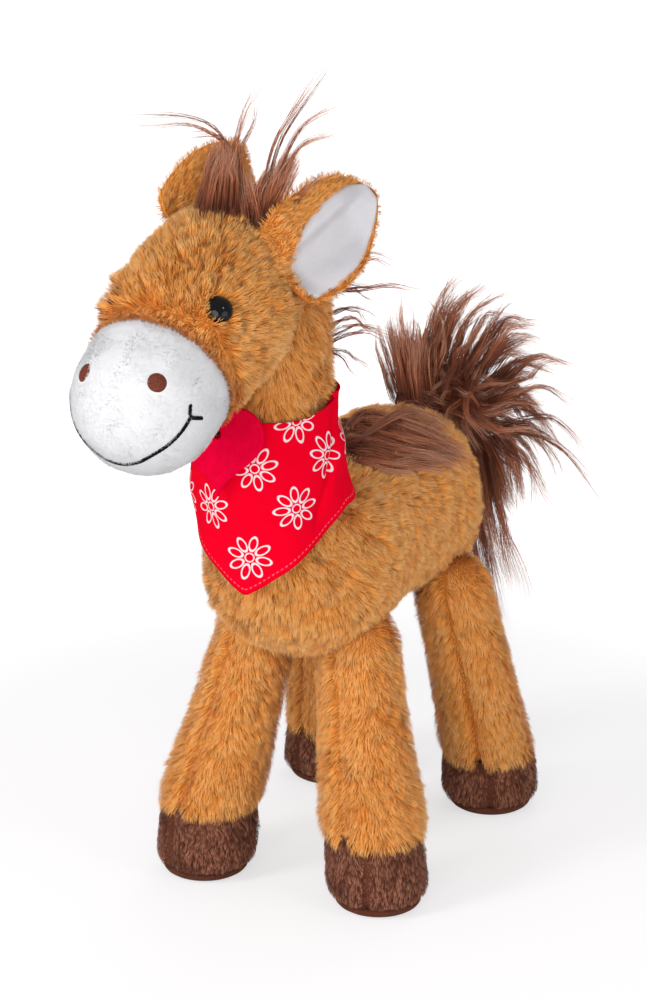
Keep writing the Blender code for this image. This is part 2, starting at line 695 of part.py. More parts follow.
def head_surface(station, angle):
    """Place on the head's outer skin and the direction out of it."""
    profile = head_profile(0.0)
    for (low, low_radius), (high, high_radius) in zip(profile, profile[1:]):
        if low <= station <= high:
            share = (station - low) / (high - low)
            radius = low_radius + (high_radius - low_radius) * share
            slope = (high_radius - low_radius) / (high - low)
            spoke = X_AXIS * math.cos(angle) + HEAD_UP * math.sin(angle)
            place = HEAD_CENTRE + HEAD_OUT * station + spoke * radius
            return place, (spoke - HEAD_OUT * slope).normalized()
    raise ValueError("the station lies off the head")


def eye_sides():
    """Left and right: a name, the seat on the skin and the direction out of it."""
    for side, word in ((LEFT, "left"), (RIGHT, "right")):
        angle = EYE_ANGLE if side == LEFT else math.pi - EYE_ANGLE
        yield word, *head_surface(EYE_STATION, angle)


def eye(word, seat, out):
    """A safety eye: domed bead with a rim, and the stem that goes through the skin."""
    profile = [
        (-EYE_STEM_LENGTH, EYE_STEM_RADIUS),
        (SEAM_GAP, EYE_STEM_RADIUS),
        (SEAM_GAP, EYE_RADIUS),
        (SEAM_GAP + EYE_RIM, EYE_RADIUS),
    ]
    for angle in DOME_ANGLES[::-1][1:]:
        height = SEAM_GAP + EYE_RIM + EYE_DOME * math.sin(angle)
        profile.append((height, EYE_RADIUS * math.cos(angle)))
    top = SEAM_GAP + EYE_RIM + EYE_DOME
    return turned("eye_" + word, seat, out, profile, 14, last=top)


def eye_washer(word, seat, out):
    """The washer that grips the stem behind the skin."""
    across, upward = across_pair(out)
    near = -PILE_SKIN - SEAM_GAP - EYE_RIM
    far = near - WASHER_THICKNESS
    bore = EYE_STEM_RADIUS + SEAM_GAP
    rings = []
    for along, radius in ((near, bore), (near, WASHER_RADIUS), (far, WASHER_RADIUS), (far, bore)):
        rings.append(oval(seat + out * along, across, upward, radius, radius, 14))
    return loft("eye_washer_" + word, rings, joined=True)


def eye_pocket(seat, out):
    """The room in the filling for stem and washer."""
    depth = EYE_STEM_LENGTH + SEAM_GAP
    radius = WASHER_RADIUS + SEAM_GAP
    return turned("pocket", seat, out, [(-depth, radius), (OVERRUN, radius)], 12)


def eye_hole(seat, out):
    """The hole in the skin for the stem."""
    radius = EYE_STEM_RADIUS + SEAM_GAP
    return turned("hole", seat, out, [(-OVERRUN, radius), (OVERRUN, radius)], 12)


def on_muzzle(shares, height):
    """A point over the muzzle's ball from sideways, up and forward shares."""
    across, up, out = shares
    direction = (X_AXIS * across + HEAD_UP * up + HEAD_OUT * out).normalized()
    return MUZZLE_CENTRE + direction * (MUZZLE_RADIUS + height)


def nostril(word, side):
    """A round satin-stitched nostril."""
    sideways = math.cos(NOSTRIL_ANGLE) * math.sin(NOSTRIL_TILT) * side
    upward = math.sin(NOSTRIL_ANGLE) * math.sin(NOSTRIL_TILT)
    out = (X_AXIS * sideways + HEAD_UP * upward + HEAD_OUT * math.cos(NOSTRIL_TILT)).normalized()
    seat = MUZZLE_CENTRE + out * MUZZLE_RADIUS
    low, high = SEAM_GAP, SEAM_GAP + NOSTRIL_THICKNESS
    profile = [
        (low, NOSTRIL_RADIUS),
        ((low + high) / 2, NOSTRIL_RADIUS),
        (high, NOSTRIL_RADIUS / 2),
    ]
    return turned("nostril_" + word, seat, out, profile, 12)


def smooth_path(points, steps):
    """Points along a Catmull-Rom curve through the given ones."""
    nodes = [2 * points[0] - points[1], *points, 2 * points[-1] - points[-2]]
    path = []
    for k in range(1, len(nodes) - 2):
        a, b, c, d = nodes[k - 1 : k + 3]
        for step in range(steps):
            t = step / steps
            bend = (2 * a - 5 * b + 4 * c - d) * t**2 + (3 * b - a - 3 * c + d) * t**3
            path.append((2 * b + (c - a) * t + bend) / 2)
    path.append(nodes[-2])
    return path


def tube(name, path, radii, sides, flatness=1.0):
    """A closed tube along a path, with a radius at each point and a flatter side if wanted."""
    rings = []
    heading = (path[1] - path[0]).normalized()
    across, upward = across_pair(heading)
    for k, place in enumerate(path):
        before, after = path[max(k - 1, 0)], path[min(k + 1, len(path) - 1)]
        turn = heading.rotation_difference((after - before).normalized())
        heading = (after - before).normalized()
        across, upward = turn @ across, turn @ upward
        rings.append(oval(place, across, upward, radii[k], radii[k] * flatness, sides))
    return loft(name, rings, path[0], path[-1])


def stitch_line(name, shares, steps):
    """A raised line of stitches over the muzzle."""
    lift = STITCH_RADIUS + SEAM_GAP
    path = smooth_path([on_muzzle(s, lift) for s in shares], steps)
    path = [MUZZLE_CENTRE + (p - MUZZLE_CENTRE).normalized() * (MUZZLE_RADIUS + lift) for p in path]
    return tube(name, path, [STITCH_RADIUS] * len(path), 5)


def mouth_stitch():
    """The smile with a tick at each end."""
    left = list(SMILE_SHARES)
    right = [(-x, z, out) for x, z, out in SMILE_SHARES[:0:-1]]
    mouth = stitch_line("mouth_stitch", right + left, 2)
    for side in (LEFT, RIGHT):
        tick = [(x * side, z, out) for x, z, out in TICK_SHARES]
        combine(mouth, stitch_line("tick", tick, 3), "UNION")
    return mouth


def slab(name, grid, below, above, joined=False):
    """A closed slab over a grid of points; below and above give offsets along the surface normal."""
    rows, columns = len(grid), len(grid[0])
    normals = []
    for i in range(rows):
        line = []
        for j in range(columns):
            up = grid[min(i + 1, rows - 1)][j] - grid[max(i - 1, 0)][j]
            if joined:
                side = grid[i][(j + 1) % columns] - grid[i][(j - 1) % columns]
            else:
                side = grid[i][min(j + 1, columns - 1)] - grid[i][max(j - 1, 0)]
            line.append(side.cross(up).normalized())
        normals.append(line)
    points = []
    for offset in (below, above):
        for i in range(rows):
            for j in range(columns):
                points.append(grid[i][j] + normals[i][j] * offset(i, j))
    layer = rows * columns
    wrap = columns if joined else columns - 1
    faces = []
    for i in range(rows - 1):
        for j in range(wrap):
            n = (j + 1) % columns
            quad = (i * columns + j, i * columns + n, (i + 1) * columns + n, (i + 1) * columns + j)
            faces.append(quad)
            faces.append(tuple(layer + k for k in quad[::-1]))
    border = []
    for j in range(wrap):
        n = (j + 1) % columns
        border.append((j, n))
        border.append(((rows - 1) * columns + n, (rows - 1) * columns + j))
    if not joined:
        for i in range(rows - 1):
            border.append(((i + 1) * columns, i * columns))
            border.append((i * columns + columns - 1, (i + 1) * columns + columns - 1))
    faces += [(b, a, layer + a, layer + b) for a, b in border]
    return solid(name, points, faces)


class Ear:
    """One ear: a cupped leaf with a fold hinge along its root."""

    def __init__(self, word, side, root, tip, facing_shares):
        self.word = word
        self.root = HEAD_CENTRE + Vector(root)
        self.along = (HEAD_CENTRE + Vector(tip) - self.root).normalized()
        facing = Vector(facing_shares)
        facing = (facing - self.along * facing.dot(self.along)).normalized()
        self.facing = facing
        self.width = self.along.cross(facing).normalized() * side
        self.side = side

    def point(self, along, sideways, lift=0.0):
        """A point of the cupped leaf: along its length, sideways from -1 at the inner rim to 1."""
        shares = EAR_OUTLINE_SHARES
        for (low, low_width), (high, high_width) in zip(shares, shares[1:]):
            if low <= along <= high:
                share = (along - low) / (high - low)
                half = EAR_HALF_WIDTH * (low_width + (high_width - low_width) * share)
        cup = EAR_CUP * (sideways**2) * (1 - along**3) + lift
        middle = self.root + self.along * EAR_LENGTH * along
        return middle + self.width * half * sideways + self.facing * cup

    def grid(self, stations, sideways):
        """Points of the leaf at the given stations."""
        return [[self.point(a, s) for s in sideways] for a in stations]

    def back(self):
        """The outer ear of pile fabric, thicker along its middle."""
        stations = [-0.16] + [share for share, _ in EAR_OUTLINE_SHARES]
        sideways = [-1.0, -0.8, -0.4, 0.0, 0.4, 0.8, 1.0]
        grid = [[self.base_point(s) if a < 0 else self.point(a, s) for s in sideways] for a in stations]
        last = len(sideways) - 1
        thickness = {0: EAR_RIM_THICKNESS, last: EAR_RIM_THICKNESS}

        def below(i, j):
            return -thickness.get(j, EAR_THICKNESS) * self.side

        return slab("ear_%s_back" % self.word, grid, below, lambda i, j: 0.0)

    def base_point(self, sideways):
        """A point of the root, sunk towards the head so that the head's form can cut it."""
        return self.point(0.0, sideways) - self.along * OVERRUN

    def lining(self):
        """The white lining that lies in the cup."""
        stations = (0.10, 0.25, 0.45, 0.65, 0.80, 0.90)
        sideways = (-0.62, -0.3, 0.05, 0.45, 0.84)
        grid = self.grid(stations, sideways)
        low, high = SEAM_GAP * self.side, (SEAM_GAP + EAR_LINING) * self.side
        return slab("ear_%s_lining" % self.word, grid, lambda i, j: low, lambda i, j: high)


def lock(name, points, radius, flatness=0.7, steps=2):
    """A tapering lock of hair through the given points."""
    path = smooth_path([Vector(p) for p in points], steps)
    radii = []
    for k in range(len(path)):
        share = k / (len(path) - 1)
        radii.append(HAIR_TIP_RADIUS + (radius - HAIR_TIP_RADIUS) * (1 - share**1.6))
    return tube(name, path, radii, LOCK_SIDES, flatness)


def ball(name, centre, half_sizes, sides):
    """A round or oval ball."""
    across, along, upward = (Vector(v) for v in ((1, 0, 0), (0, 1, 0), (0, 0, 1)))
    rings = []
    for angle in [-a for a in DOME_ANGLES[:-1]] + list(DOME_ANGLES[::-1]):
        place = Vector(centre) + upward * half_sizes[2] * math.sin(angle)
        width = half_sizes[0] * math.cos(angle)
        rings.append(oval(place, across, along, width, half_sizes[1] * math.cos(angle), sides))
    bottom = Vector(centre) - upward * half_sizes[2]
    top = Vector(centre) + upward * half_sizes[2]
    return loft(name, rings, bottom, top)


def forelock(head_clear):
    """The tuft between the ears with its long wisps."""
    crown, _ = head_surface(-HEAD_BACK_LENGTH * CROWN_SETBACK_SHARE, math.pi / 2)
    crown += X_AXIS * FORELOCK_OFFSET
    sizes = (FORELOCK_WIDTH / 2, FORELOCK_DEPTH / 2, FORELOCK_HEIGHT / 3)
    tuft = ball("forelock", crown, sizes, 12)
    for root, bend, tip, thick in FORELOCK_SHARES:
        points = [crown + Vector(place) * FORELOCK_WIDTH for place in (root, bend, tip)]
        combine(tuft, lock("lock", points, LOCK_RADIUS * thick), "UNION")
    return combine(tuft, head_clear, "DIFFERENCE", keep_tool=True)


def mane():
    """The strip of long hair down the nape, with the locks that fall from it."""
    nape_y = NECK_RADIUS - NECK_FORWARD
    lowest = NECKLINE_Z + MANE_ABOVE_NECKLINE
    path = []
    for share in (0.0, 0.5, 1.0):
        angle = MANE_START + (math.pi / 2 - MANE_START) * share
        reach = NECK_RADIUS + SEAM_GAP
        path.append(NOD_PIVOT + Vector((0, reach * math.sin(angle), reach * math.cos(angle))))
    path.append(Vector((0, nape_y + SEAM_GAP, (NOD_HEIGHT + lowest) / 2)))
    path.append(Vector((0, nape_y + SEAM_GAP, lowest + MANE_THICKNESS)))
    path = smooth_path(path, 2)
    radii = [MANE_WIDTH / 2] * len(path)
    strip = tube("mane", path, radii, 8, MANE_THICKNESS * 2 / MANE_WIDTH)
    for share, side, back, down in MANE_SHARES:
        root = path[round(share * (len(path) - 1))]
        tip = root + Vector((side, back, -down)) * MANE_WIDTH
        tip.z = max(tip.z, lowest + HAIR_TIP_RADIUS)
        middle = root.lerp(tip, 0.5) + Vector((0, 0, MANE_WIDTH * 0.22))
        combine(strip, lock("lock", (root, middle, tip), LOCK_RADIUS * 0.8), "UNION")
    return combine(strip, neck_solid("clear", SEAM_GAP), "DIFFERENCE")


def over_torso(torso_tree, x, y, height):
    """The point a given height over the torso's upper side."""
    top = Vector((x, y, TORSO_MIDDLE_Z + TORSO_HEIGHT * 2))
    hit, normal, _, _ = torso_tree.ray_cast(top, -Z_AXIS)
    return hit + normal * height


def withers_mane(torso_tree, torso_clear):
    """The end of the mane on the back: long locks that lie over the left flank."""
    start_y = NECK_RADIUS - NECK_FORWARD + MANE_THICKNESS
    seat = over_torso(torso_tree, TORSO_WIDTH / 12, start_y + MANE_WIDTH, 0.0)
    strip = ball("withers_mane", seat, (MANE_WIDTH * 0.8, MANE_WIDTH, MANE_THICKNESS * 0.8), 10)
    half = TORSO_WIDTH / 2
    for row in WITHERS_SHARES:
        points = []
        for side, back, height in zip(row[0:6:2], row[1:6:2], (0.5, 0.8, 0.4)):
            y = start_y + TORSO_LENGTH * back
            points.append(over_torso(torso_tree, half * side, y, LOCK_RADIUS * height))
        combine(strip, lock("lock", points, LOCK_RADIUS * row[6], steps=3), "UNION")
    return combine(strip, torso_clear, "DIFFERENCE", keep_tool=True)


TAIL_PIVOT = Vector((0, TAIL_ROOT_Y, TAIL_ROOT_Z))
TAIL_OUT = Vector((0, math.sin(TAIL_LEAN), math.cos(TAIL_LEAN)))


def tail_core(growth=0.0, name="tail_core"):
    """The stuffed stub in the middle of the tail."""
    profile = []
    for share, width in ((0.0, 0.8), (0.2, 1.0), (0.6, 0.95), (0.85, 0.7), (0.96, 0.38)):
        profile.append((TAIL_CORE_LENGTH * share, TAIL_CORE_RADIUS * width + growth))
    return turned(name, TAIL_PIVOT, TAIL_OUT, profile, 12, -growth, TAIL_CORE_LENGTH + growth)


def tail_hair():
    """The long hair of the tail: a coat round the core and the locks that fan out of it."""
    hair = tail_core(TAIL_HAIR_SKIN + SEAM_GAP, "tail_hair")
    for up, reach, thick in TAIL_LOCK_SHARES:
        root = TAIL_PIVOT + TAIL_OUT * TAIL_CORE_LENGTH * up
        tip = TAIL_PIVOT + Vector(reach) * TAIL_CORE_LENGTH
        rise = TAIL_LIFT_SHARE + max(0.0, -reach[2]) * TAIL_ARCH_SHARE
        bend = root.lerp(tip, 0.42) + Vector((0, 1, 1)) * TAIL_CORE_LENGTH * rise
        combine(hair, lock("lock", (root, bend, tip), LOCK_RADIUS * thick, 0.75), "UNION")
    return combine(hair, tail_core(SEAM_GAP, "room"), "DIFFERENCE")


def bandana_drop(angle):
    """How far the hem hangs below the neckline at an angle from the front."""
    turn = abs((angle + math.pi) % math.tau - math.pi)
    if turn < math.pi / 2:
        share = turn / (math.pi / 2)
        return BANDANA_FRONT_DROP + (BANDANA_SIDE_DROP - BANDANA_FRONT_DROP) * share**0.85
    share = (turn - math.pi / 2) / (math.pi / 2)
    blend = share * share * (3 - 2 * share)
    return BANDANA_SIDE_DROP + (BANDANA_NAPE_DROP - BANDANA_SIDE_DROP) * blend


def body_reach(torso_tree, out, heights):
    """How far the torso reaches from the neck's axis in one direction, over some heights."""
    reach = 0.0
    for height in heights:
        far = neck_axis_point(height) + out * TORSO_LENGTH
        hit, _, _, _ = torso_tree.ray_cast(far, -out)
        if hit:
            reach = max(reach, (hit - neck_axis_point(height)).dot(out))
    return reach


def bandana(torso_tree):
    """The neckerchief: a closed band at the neckline that hangs over chest and shoulders."""
    angles = [math.tau * j / BANDANA_STEPS + BANDANA_TURN for j in range(BANDANA_STEPS)]
    outs = [Vector((math.sin(angle), -math.cos(angle), 0)) for angle in angles]
    drops = [bandana_drop(angle - BANDANA_TURN) for angle in angles]
    closest = NECK_RADIUS + NECKLINE_GAP
    reach = [closest] * BANDANA_STEPS
    rows = []
    for i in range(BANDANA_ROWS):
        share = i / (BANDANA_ROWS - 1)
        for j, out in enumerate(outs):
            step = drops[j] / (BANDANA_ROWS - 1)
            height = NECKLINE_Z - drops[j] * share
            nearby = [height + step * part for part in (-1.0, -0.5, 0.0, 0.5, 1.0)]
            body = body_reach(torso_tree, out, nearby) + SEAM_GAP
            fall = reach[j] - BANDANA_DRAW_IN_SHARE * step if i else closest
            reach[j] = max(fall, body, closest)
        row = []
        for j, (angle, out) in enumerate(zip(angles, outs)):
            beside = (reach[j - 1] + reach[(j + 1) % BANDANA_STEPS]) / 2
            ripple = 0.5 + 0.5 * math.sin(3 * angle + BANDANA_RIPPLE_START)
            pleat = math.exp(-(((angle - BANDANA_PLEAT_ANGLE) / BANDANA_PLEAT_SPREAD) ** 2))
            fold = BANDANA_FOLD * share * (ripple + pleat)
            height = NECKLINE_Z - drops[j] * share
            row.append(neck_axis_point(height) + out * (max(reach[j], beside) + fold))
        rows.append(row)
    return slab("bandana", rows, lambda i, j: 0.0, lambda i, j: -CLOTH_THICKNESS, joined=True)


BANDANA_FRONT = -NECK_FORWARD - NECK_RADIUS - NECKLINE_GAP - CLOTH_THICKNESS
TAG_STANDOFF = LOOP_RADIUS + LOOP_WIRE + SEAM_GAP
LOOP_CENTRE = Vector((TAG_OFFSET, BANDANA_FRONT - TAG_STANDOFF, NECKLINE_Z - LOOP_WIRE))
TAG_PIVOT = LOOP_CENTRE - Z_AXIS * LOOP_RADIUS


def heart_outline(steps):
    """Points of a heart of unit width and height, notch at the top, about the notch."""
    points = []
    for k in range(steps):
        t = math.tau * k / steps
        x = math.sin(t) ** 3
        z = (13 * math.cos(t) - 5 * math.cos(2 * t) - 2 * math.cos(3 * t) - math.cos(4 * t)) / 16
        points.append((x / 2, z))
    highest = max(z for _, z in points)
    lowest = min(z for _, z in points)
    notch = points[0][1]
    return [(x, (z - notch) / (highest - lowest)) for x, z in points]


def heart_tag():
    """The felt heart with the hole that its loop goes through."""
    below_notch = TAG_HOLE_RADIUS * 1.6
    front, back = [], []
    for x, z in heart_outline(26):
        place = TAG_PIVOT + Vector((x * TAG_WIDTH, 0, z * TAG_HEIGHT + below_notch))
        front.append(place - Y_AXIS * TAG_THICKNESS / 2)
        back.append(place + Y_AXIS * TAG_THICKNESS / 2)
    middle = TAG_PIVOT - Z_AXIS * TAG_HEIGHT / 3
    half = Y_AXIS * TAG_THICKNESS / 2
    heart = loft("heart_tag", [front, back], middle - half, middle + half)
    bore = [(-OVERRUN, TAG_HOLE_RADIUS), (OVERRUN, TAG_HOLE_RADIUS)]
    return combine(heart, turned("hole", TAG_PIVOT, Y_AXIS, bore, 10), "DIFFERENCE")


def tag_loop():
    """The cord ring that holds the heart at the neckline."""
    rings = []
    steps = 14
    for k in range(steps):
        angle = math.tau * k / steps
        spoke = Y_AXIS * math.cos(angle) + Z_AXIS * math.sin(angle)
        rings.append(oval(LOOP_CENTRE + spoke * LOOP_RADIUS, spoke, X_AXIS, LOOP_WIRE, LOOP_WIRE, 6))
    return loft("tag_loop", rings, joined=True)


def tree_of(thing):
    """A search tree over a solid's faces."""
    work = bmesh.new()
    work.from_mesh(thing.data)
    tree = BVHTree.FromBMesh(work)
    work.free()
    return tree


def place(thing, pivot, parent, finish):
    """Puts a piece's origin on its pivot, hangs it on the stance and gives it its finish."""
    work = bmesh.new()
    work.from_mesh(thing.data)
    bmesh.ops.remove_doubles(work, verts=work.verts, dist=WELD)
    bmesh.ops.translate(work, vec=-pivot, verts=work.verts)
    work.to_mesh(thing.data)
    work.free()
    thing.parent = parent
    thing.location = pivot
    thing.data.materials.clear()
    thing.data.materials.append(finish)
    thing.data.shade_smooth()
    thing.data.set_sharp_from_angle(angle=math.radians(40.0))


def build():
    """Makes every piece and puts it on its joint."""
    clear_scene()
    stance = bpy.data.objects.new("stance", None)
    bpy.context.scene.collection.objects.link(stance)
    stance.location = (0, FRONT_HOOF_Y, 0)

    caramel = material("caramel_pile", CARAMEL, 0.9)
    white = material("white_short_pile", WHITE, 0.85)
    hoof_pile = material("hoof_short_pile", HOOF_BROWN, 0.85)
    hair = material("long_hair", HAIR_BROWN, 0.7)
    cotton = material("red_cotton", RED, 0.8)
    felt = material("red_felt", RED, 0.9)
    stuffing = material("stuffing", STUFFING_WHITE, 0.95)
    thread = material("black_thread", BLACK, 0.6)
    brown_thread = material("brown_thread", NOSTRIL_BROWN, 0.6)
    bead = material("black_bead", BLACK, 0.12)
    plastic = material("washer_plastic", CLEAR_PLASTIC, 0.4)

    ground = Vector((0, 0, 0))

    torso_clear = torso_form("torso_clear", -SEAM_GAP)
    torso_tree = tree_of(torso_clear)
    torso_skin = torso_form("torso_skin", 0.0)
    combine(torso_skin, torso_form("cavity", PILE_SKIN, OVERRUN), "DIFFERENCE")
    torso_stuffing = torso_form("torso_stuffing", PILE_SKIN + SEAM_GAP)
    seats = [leg.seat() for leg in LEGS]
    seats.append(neck_solid("neck_seat", SWING_GAP))
    for seat in seats:
        combine(torso_skin, seat, "DIFFERENCE", keep_tool=True)
        combine(torso_stuffing, seat, "DIFFERENCE")

    neck = neck_skin()
    neck_filling = loft(
        "neck_stuffing",
        neck_rings(PILE_SKIN + SEAM_GAP, slice(0, None, 2)),
        neck_axis_point(NECK_FOOT_Z + PILE_SKIN + SEAM_GAP),
        neck_axis_point(NOD_HEIGHT + NECK_RADIUS - PILE_SKIN - SEAM_GAP),
    )

    head = head_skin()
    head_filling = head_stuffing()
    neck_room = neck_solid("neck_room", SWING_GAP)
    for piece in (head, head_filling):
        clear_of(piece, neck_room, NOD_PIVOT, X_AXIS, (-NOD_UP, 0.0, NOD_DOWN))
    bpy.data.objects.remove(neck_room, do_unlink=True)

    place(torso_skin, ground, stance, caramel)
    place(torso_stuffing, ground, stance, stuffing)
    place(bandana(torso_tree), ground, stance, cotton)
    place(withers_mane(torso_tree, torso_clear), ground, stance, hair)
    place(tag_loop(), ground, stance, thread)
    place(heart_tag(), TAG_PIVOT, stance, felt)

    for piece, finish in ((neck, caramel), (neck_filling, stuffing), (mane(), hair)):
        place(piece, neck_axis_point(NECK_FOOT_Z), stance, finish)

    for word, seat, out in eye_sides():
        combine(head, eye_hole(seat, out), "DIFFERENCE")
        combine(head_filling, eye_pocket(seat, out), "DIFFERENCE")
        place(eye(word, seat, out), NOD_PIVOT, stance, bead)
        place(eye_washer(word, seat, out), NOD_PIVOT, stance, plastic)
    place(head, NOD_PIVOT, stance, caramel)
    place(head_filling, NOD_PIVOT, stance, stuffing)
    place(muzzle_skin(), NOD_PIVOT, stance, white)
    place(nostril("left", LEFT), NOD_PIVOT, stance, brown_thread)
    place(nostril("right", RIGHT), NOD_PIVOT, stance, brown_thread)
    place(mouth_stitch(), NOD_PIVOT, stance, thread)
    head_clear = head_solid("head_clear", SEAM_GAP)
    place(forelock(head_clear), NOD_PIVOT, stance, hair)

    for ear in (
        Ear("left", LEFT, LEFT_EAR_ROOT, LEFT_EAR_TIP, LEFT_EAR_FACING_SHARES),
        Ear("right", RIGHT, RIGHT_EAR_ROOT, RIGHT_EAR_TIP, RIGHT_EAR_FACING_SHARES),
    ):
        folds = (-EAR_FOLD, 0.0, EAR_FOLD)
        back, lining = ear.back(), ear.lining()
        for piece in (back, lining):
            clear_of(piece, head_clear, ear.root, ear.width, folds)
        place(back, ear.root, stance, caramel)
        place(lining, ear.root, stance, white)
    bpy.data.objects.remove(head_clear, do_unlink=True)

    core, coat = tail_core(), tail_hair()
    for piece in (core, coat):
        clear_of(piece, torso_clear, TAIL_PIVOT, X_AXIS, (-TAIL_DROP, 0.0, TAIL_LIFT))
    place(core, TAIL_PIVOT, stance, caramel)
    place(coat, TAIL_PIVOT, stance, hair)
    bpy.data.objects.remove(torso_clear, do_unlink=True)

    for leg in LEGS:
        place(leg.skin(), leg.hip, stance, caramel)
        place(leg.stuffing(), leg.hip, stance, stuffing)
        place(leg.hoof_skin(), leg.hip, stance, hoof_pile)
        place(leg.sole(), leg.hip, stance, hoof_pile)


build()
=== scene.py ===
"""The looks of a standing plush foal.

Combed caramel pile over stuffed forms, loose long hair, a printed neckerchief and a felt heart. Metres,
in the frame of the solids: the foal looks along -Y, its left side is +X and it stands on Z = 0.
"""

import json
import logging
import math
from collections.abc import Callable, Iterable, Sequence
from dataclasses import dataclass, field
from enum import Enum

import bmesh
import bpy
import numpy as np
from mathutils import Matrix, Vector
from mathutils.bvhtree import BVHTree
from mathutils.kdtree import KDTree


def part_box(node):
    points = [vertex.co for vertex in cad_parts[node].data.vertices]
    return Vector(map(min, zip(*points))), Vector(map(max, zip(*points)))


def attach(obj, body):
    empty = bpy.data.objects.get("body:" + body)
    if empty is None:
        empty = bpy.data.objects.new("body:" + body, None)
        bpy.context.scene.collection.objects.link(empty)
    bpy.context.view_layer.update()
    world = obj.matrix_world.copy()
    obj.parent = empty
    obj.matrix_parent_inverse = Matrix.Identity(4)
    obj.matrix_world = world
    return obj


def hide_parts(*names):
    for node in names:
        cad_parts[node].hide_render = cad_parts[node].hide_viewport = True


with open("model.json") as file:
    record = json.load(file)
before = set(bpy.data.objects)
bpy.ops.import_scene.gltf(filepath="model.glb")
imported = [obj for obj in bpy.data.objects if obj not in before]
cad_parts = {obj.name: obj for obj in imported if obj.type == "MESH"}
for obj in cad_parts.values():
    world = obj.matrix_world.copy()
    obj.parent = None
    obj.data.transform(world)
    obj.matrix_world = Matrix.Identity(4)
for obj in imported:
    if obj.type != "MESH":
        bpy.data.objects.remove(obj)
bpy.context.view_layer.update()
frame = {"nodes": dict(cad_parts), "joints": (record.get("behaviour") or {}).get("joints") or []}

LOG = logging.getLogger("foal")

MM = 0.001
PER_SQ_MM = 1.0 / (MM * MM)
TINY = 1e-9
SEED = 1838
CAMERA_DISTANCE = 1.4
UP = np.array((0.0, 0.0, 1.0))
ACROSS = np.array((1.0, 0.0, 0.0))
BACKWARD = np.array((0.0, 1.0, 0.0))
SHADE_MAP = "OFBake"
CLOTH_MAP = "cloth"
HEM_MAP = "hem"
DAISY_MAP = "daisy"
Array = np.ndarray
Thing = bpy.types.Object
Dye = bpy.types.Material
Socket = bpy.types.NodeSocket


class Side(Enum):
    """Which side of the foal a piece is on, with its sign along X."""

    LEFT = 1
    RIGHT = -1


def unit(vectors: Array) -> Array:
    """Vectors scaled to length one."""
    return vectors / np.maximum(np.linalg.norm(vectors, axis=-1, keepdims=True), TINY)


def dot(a: Array, b: Array) -> Array:
    """Row by row product of two sets of vectors, kept as a column."""
    return (a * b).sum(axis=-1, keepdims=True)


def along_surface(direction: Array, normals: Array) -> Array:
    """What is left of a direction once its part along each normal is taken off."""
    return direction - dot(np.broadcast_to(direction, normals.shape), normals) * normals


def smooth(rows: Sequence[Sequence[float]], steps: int) -> Array:
    """Rows of numbers along a curve that passes through the given rows.

    Args:
        rows: Two or more rows of equal length.
        steps: How many rows each stretch becomes.

    Returns:
        The denser rows, the last given one included.
    """
    given = np.asarray(rows, float)
    held = np.vstack((2 * given[0] - given[1], given, 2 * given[-1] - given[-2]))
    made = []
    for k in range(1, len(held) - 2):
        a, b, c, d = held[k - 1 : k + 3]
        for step in range(steps):
            t = step / steps
            bend = (2 * a - 5 * b + 4 * c - d) * t**2 + (3 * b - a - 3 * c + d) * t**3
            made.append((2 * b + (c - a) * t + bend) / 2)
    made.append(held[-2])
    return np.array(made)


def waves(points: Array, length: float, seed: int) -> Array:
    """A soft random pattern in space, mostly from -1 to 1.

    Args:
        points: Places, one per row.
        length: Rough distance from one crest to the next.
        seed: Which pattern.

    Returns:
        One number per place.
    """
    rng = np.random.default_rng(seed)
    total = np.zeros(len(points))
    for _ in range(7):
        heading = unit(rng.normal(size=3)) * math.tau / (length * rng.uniform(0.7, 1.5))
        total += np.sin(points @ heading + rng.uniform(0, math.tau))
    return total / 2.6


def drifts(places: Array, seed: int, *layers: tuple[float, float]) -> Array:
    """Soft random directions, from layers of a wave length and a strength each."""
    total = np.zeros((len(places), 3))
    for n, (length, strength) in enumerate(layers):
        for k in range(3):
            total[:, k] += waves(places, length, seed + 10 * n + k) * strength
    return total


def superellipse(
    centre: Array, across: Array, upward: Array, half_sizes: tuple[float, float], sides: int,
    squareness: float = 2.0,
) -> Array:
    """A closed ring of points, from round to squarish.

    Args:
        centre: Middle of the ring.
        across: Unit direction of the first half size.
        upward: Unit direction of the second half size.
        half_sizes: Half width and half height.
        sides: Number of points.
        squareness: 2 for an ellipse, more for a squarer ring.

    Returns:
        The points in order.
    """
    angles = np.linspace(0, math.tau, sides, endpoint=False)
    c, s = np.cos(angles), np.sin(angles)
    power = 2.0 / squareness
    x = np.sign(c) * np.abs(c) ** power * half_sizes[0]
    z = np.sign(s) * np.abs(s) ** power * half_sizes[1]
    return centre + np.outer(x, across) + np.outer(z, upward)


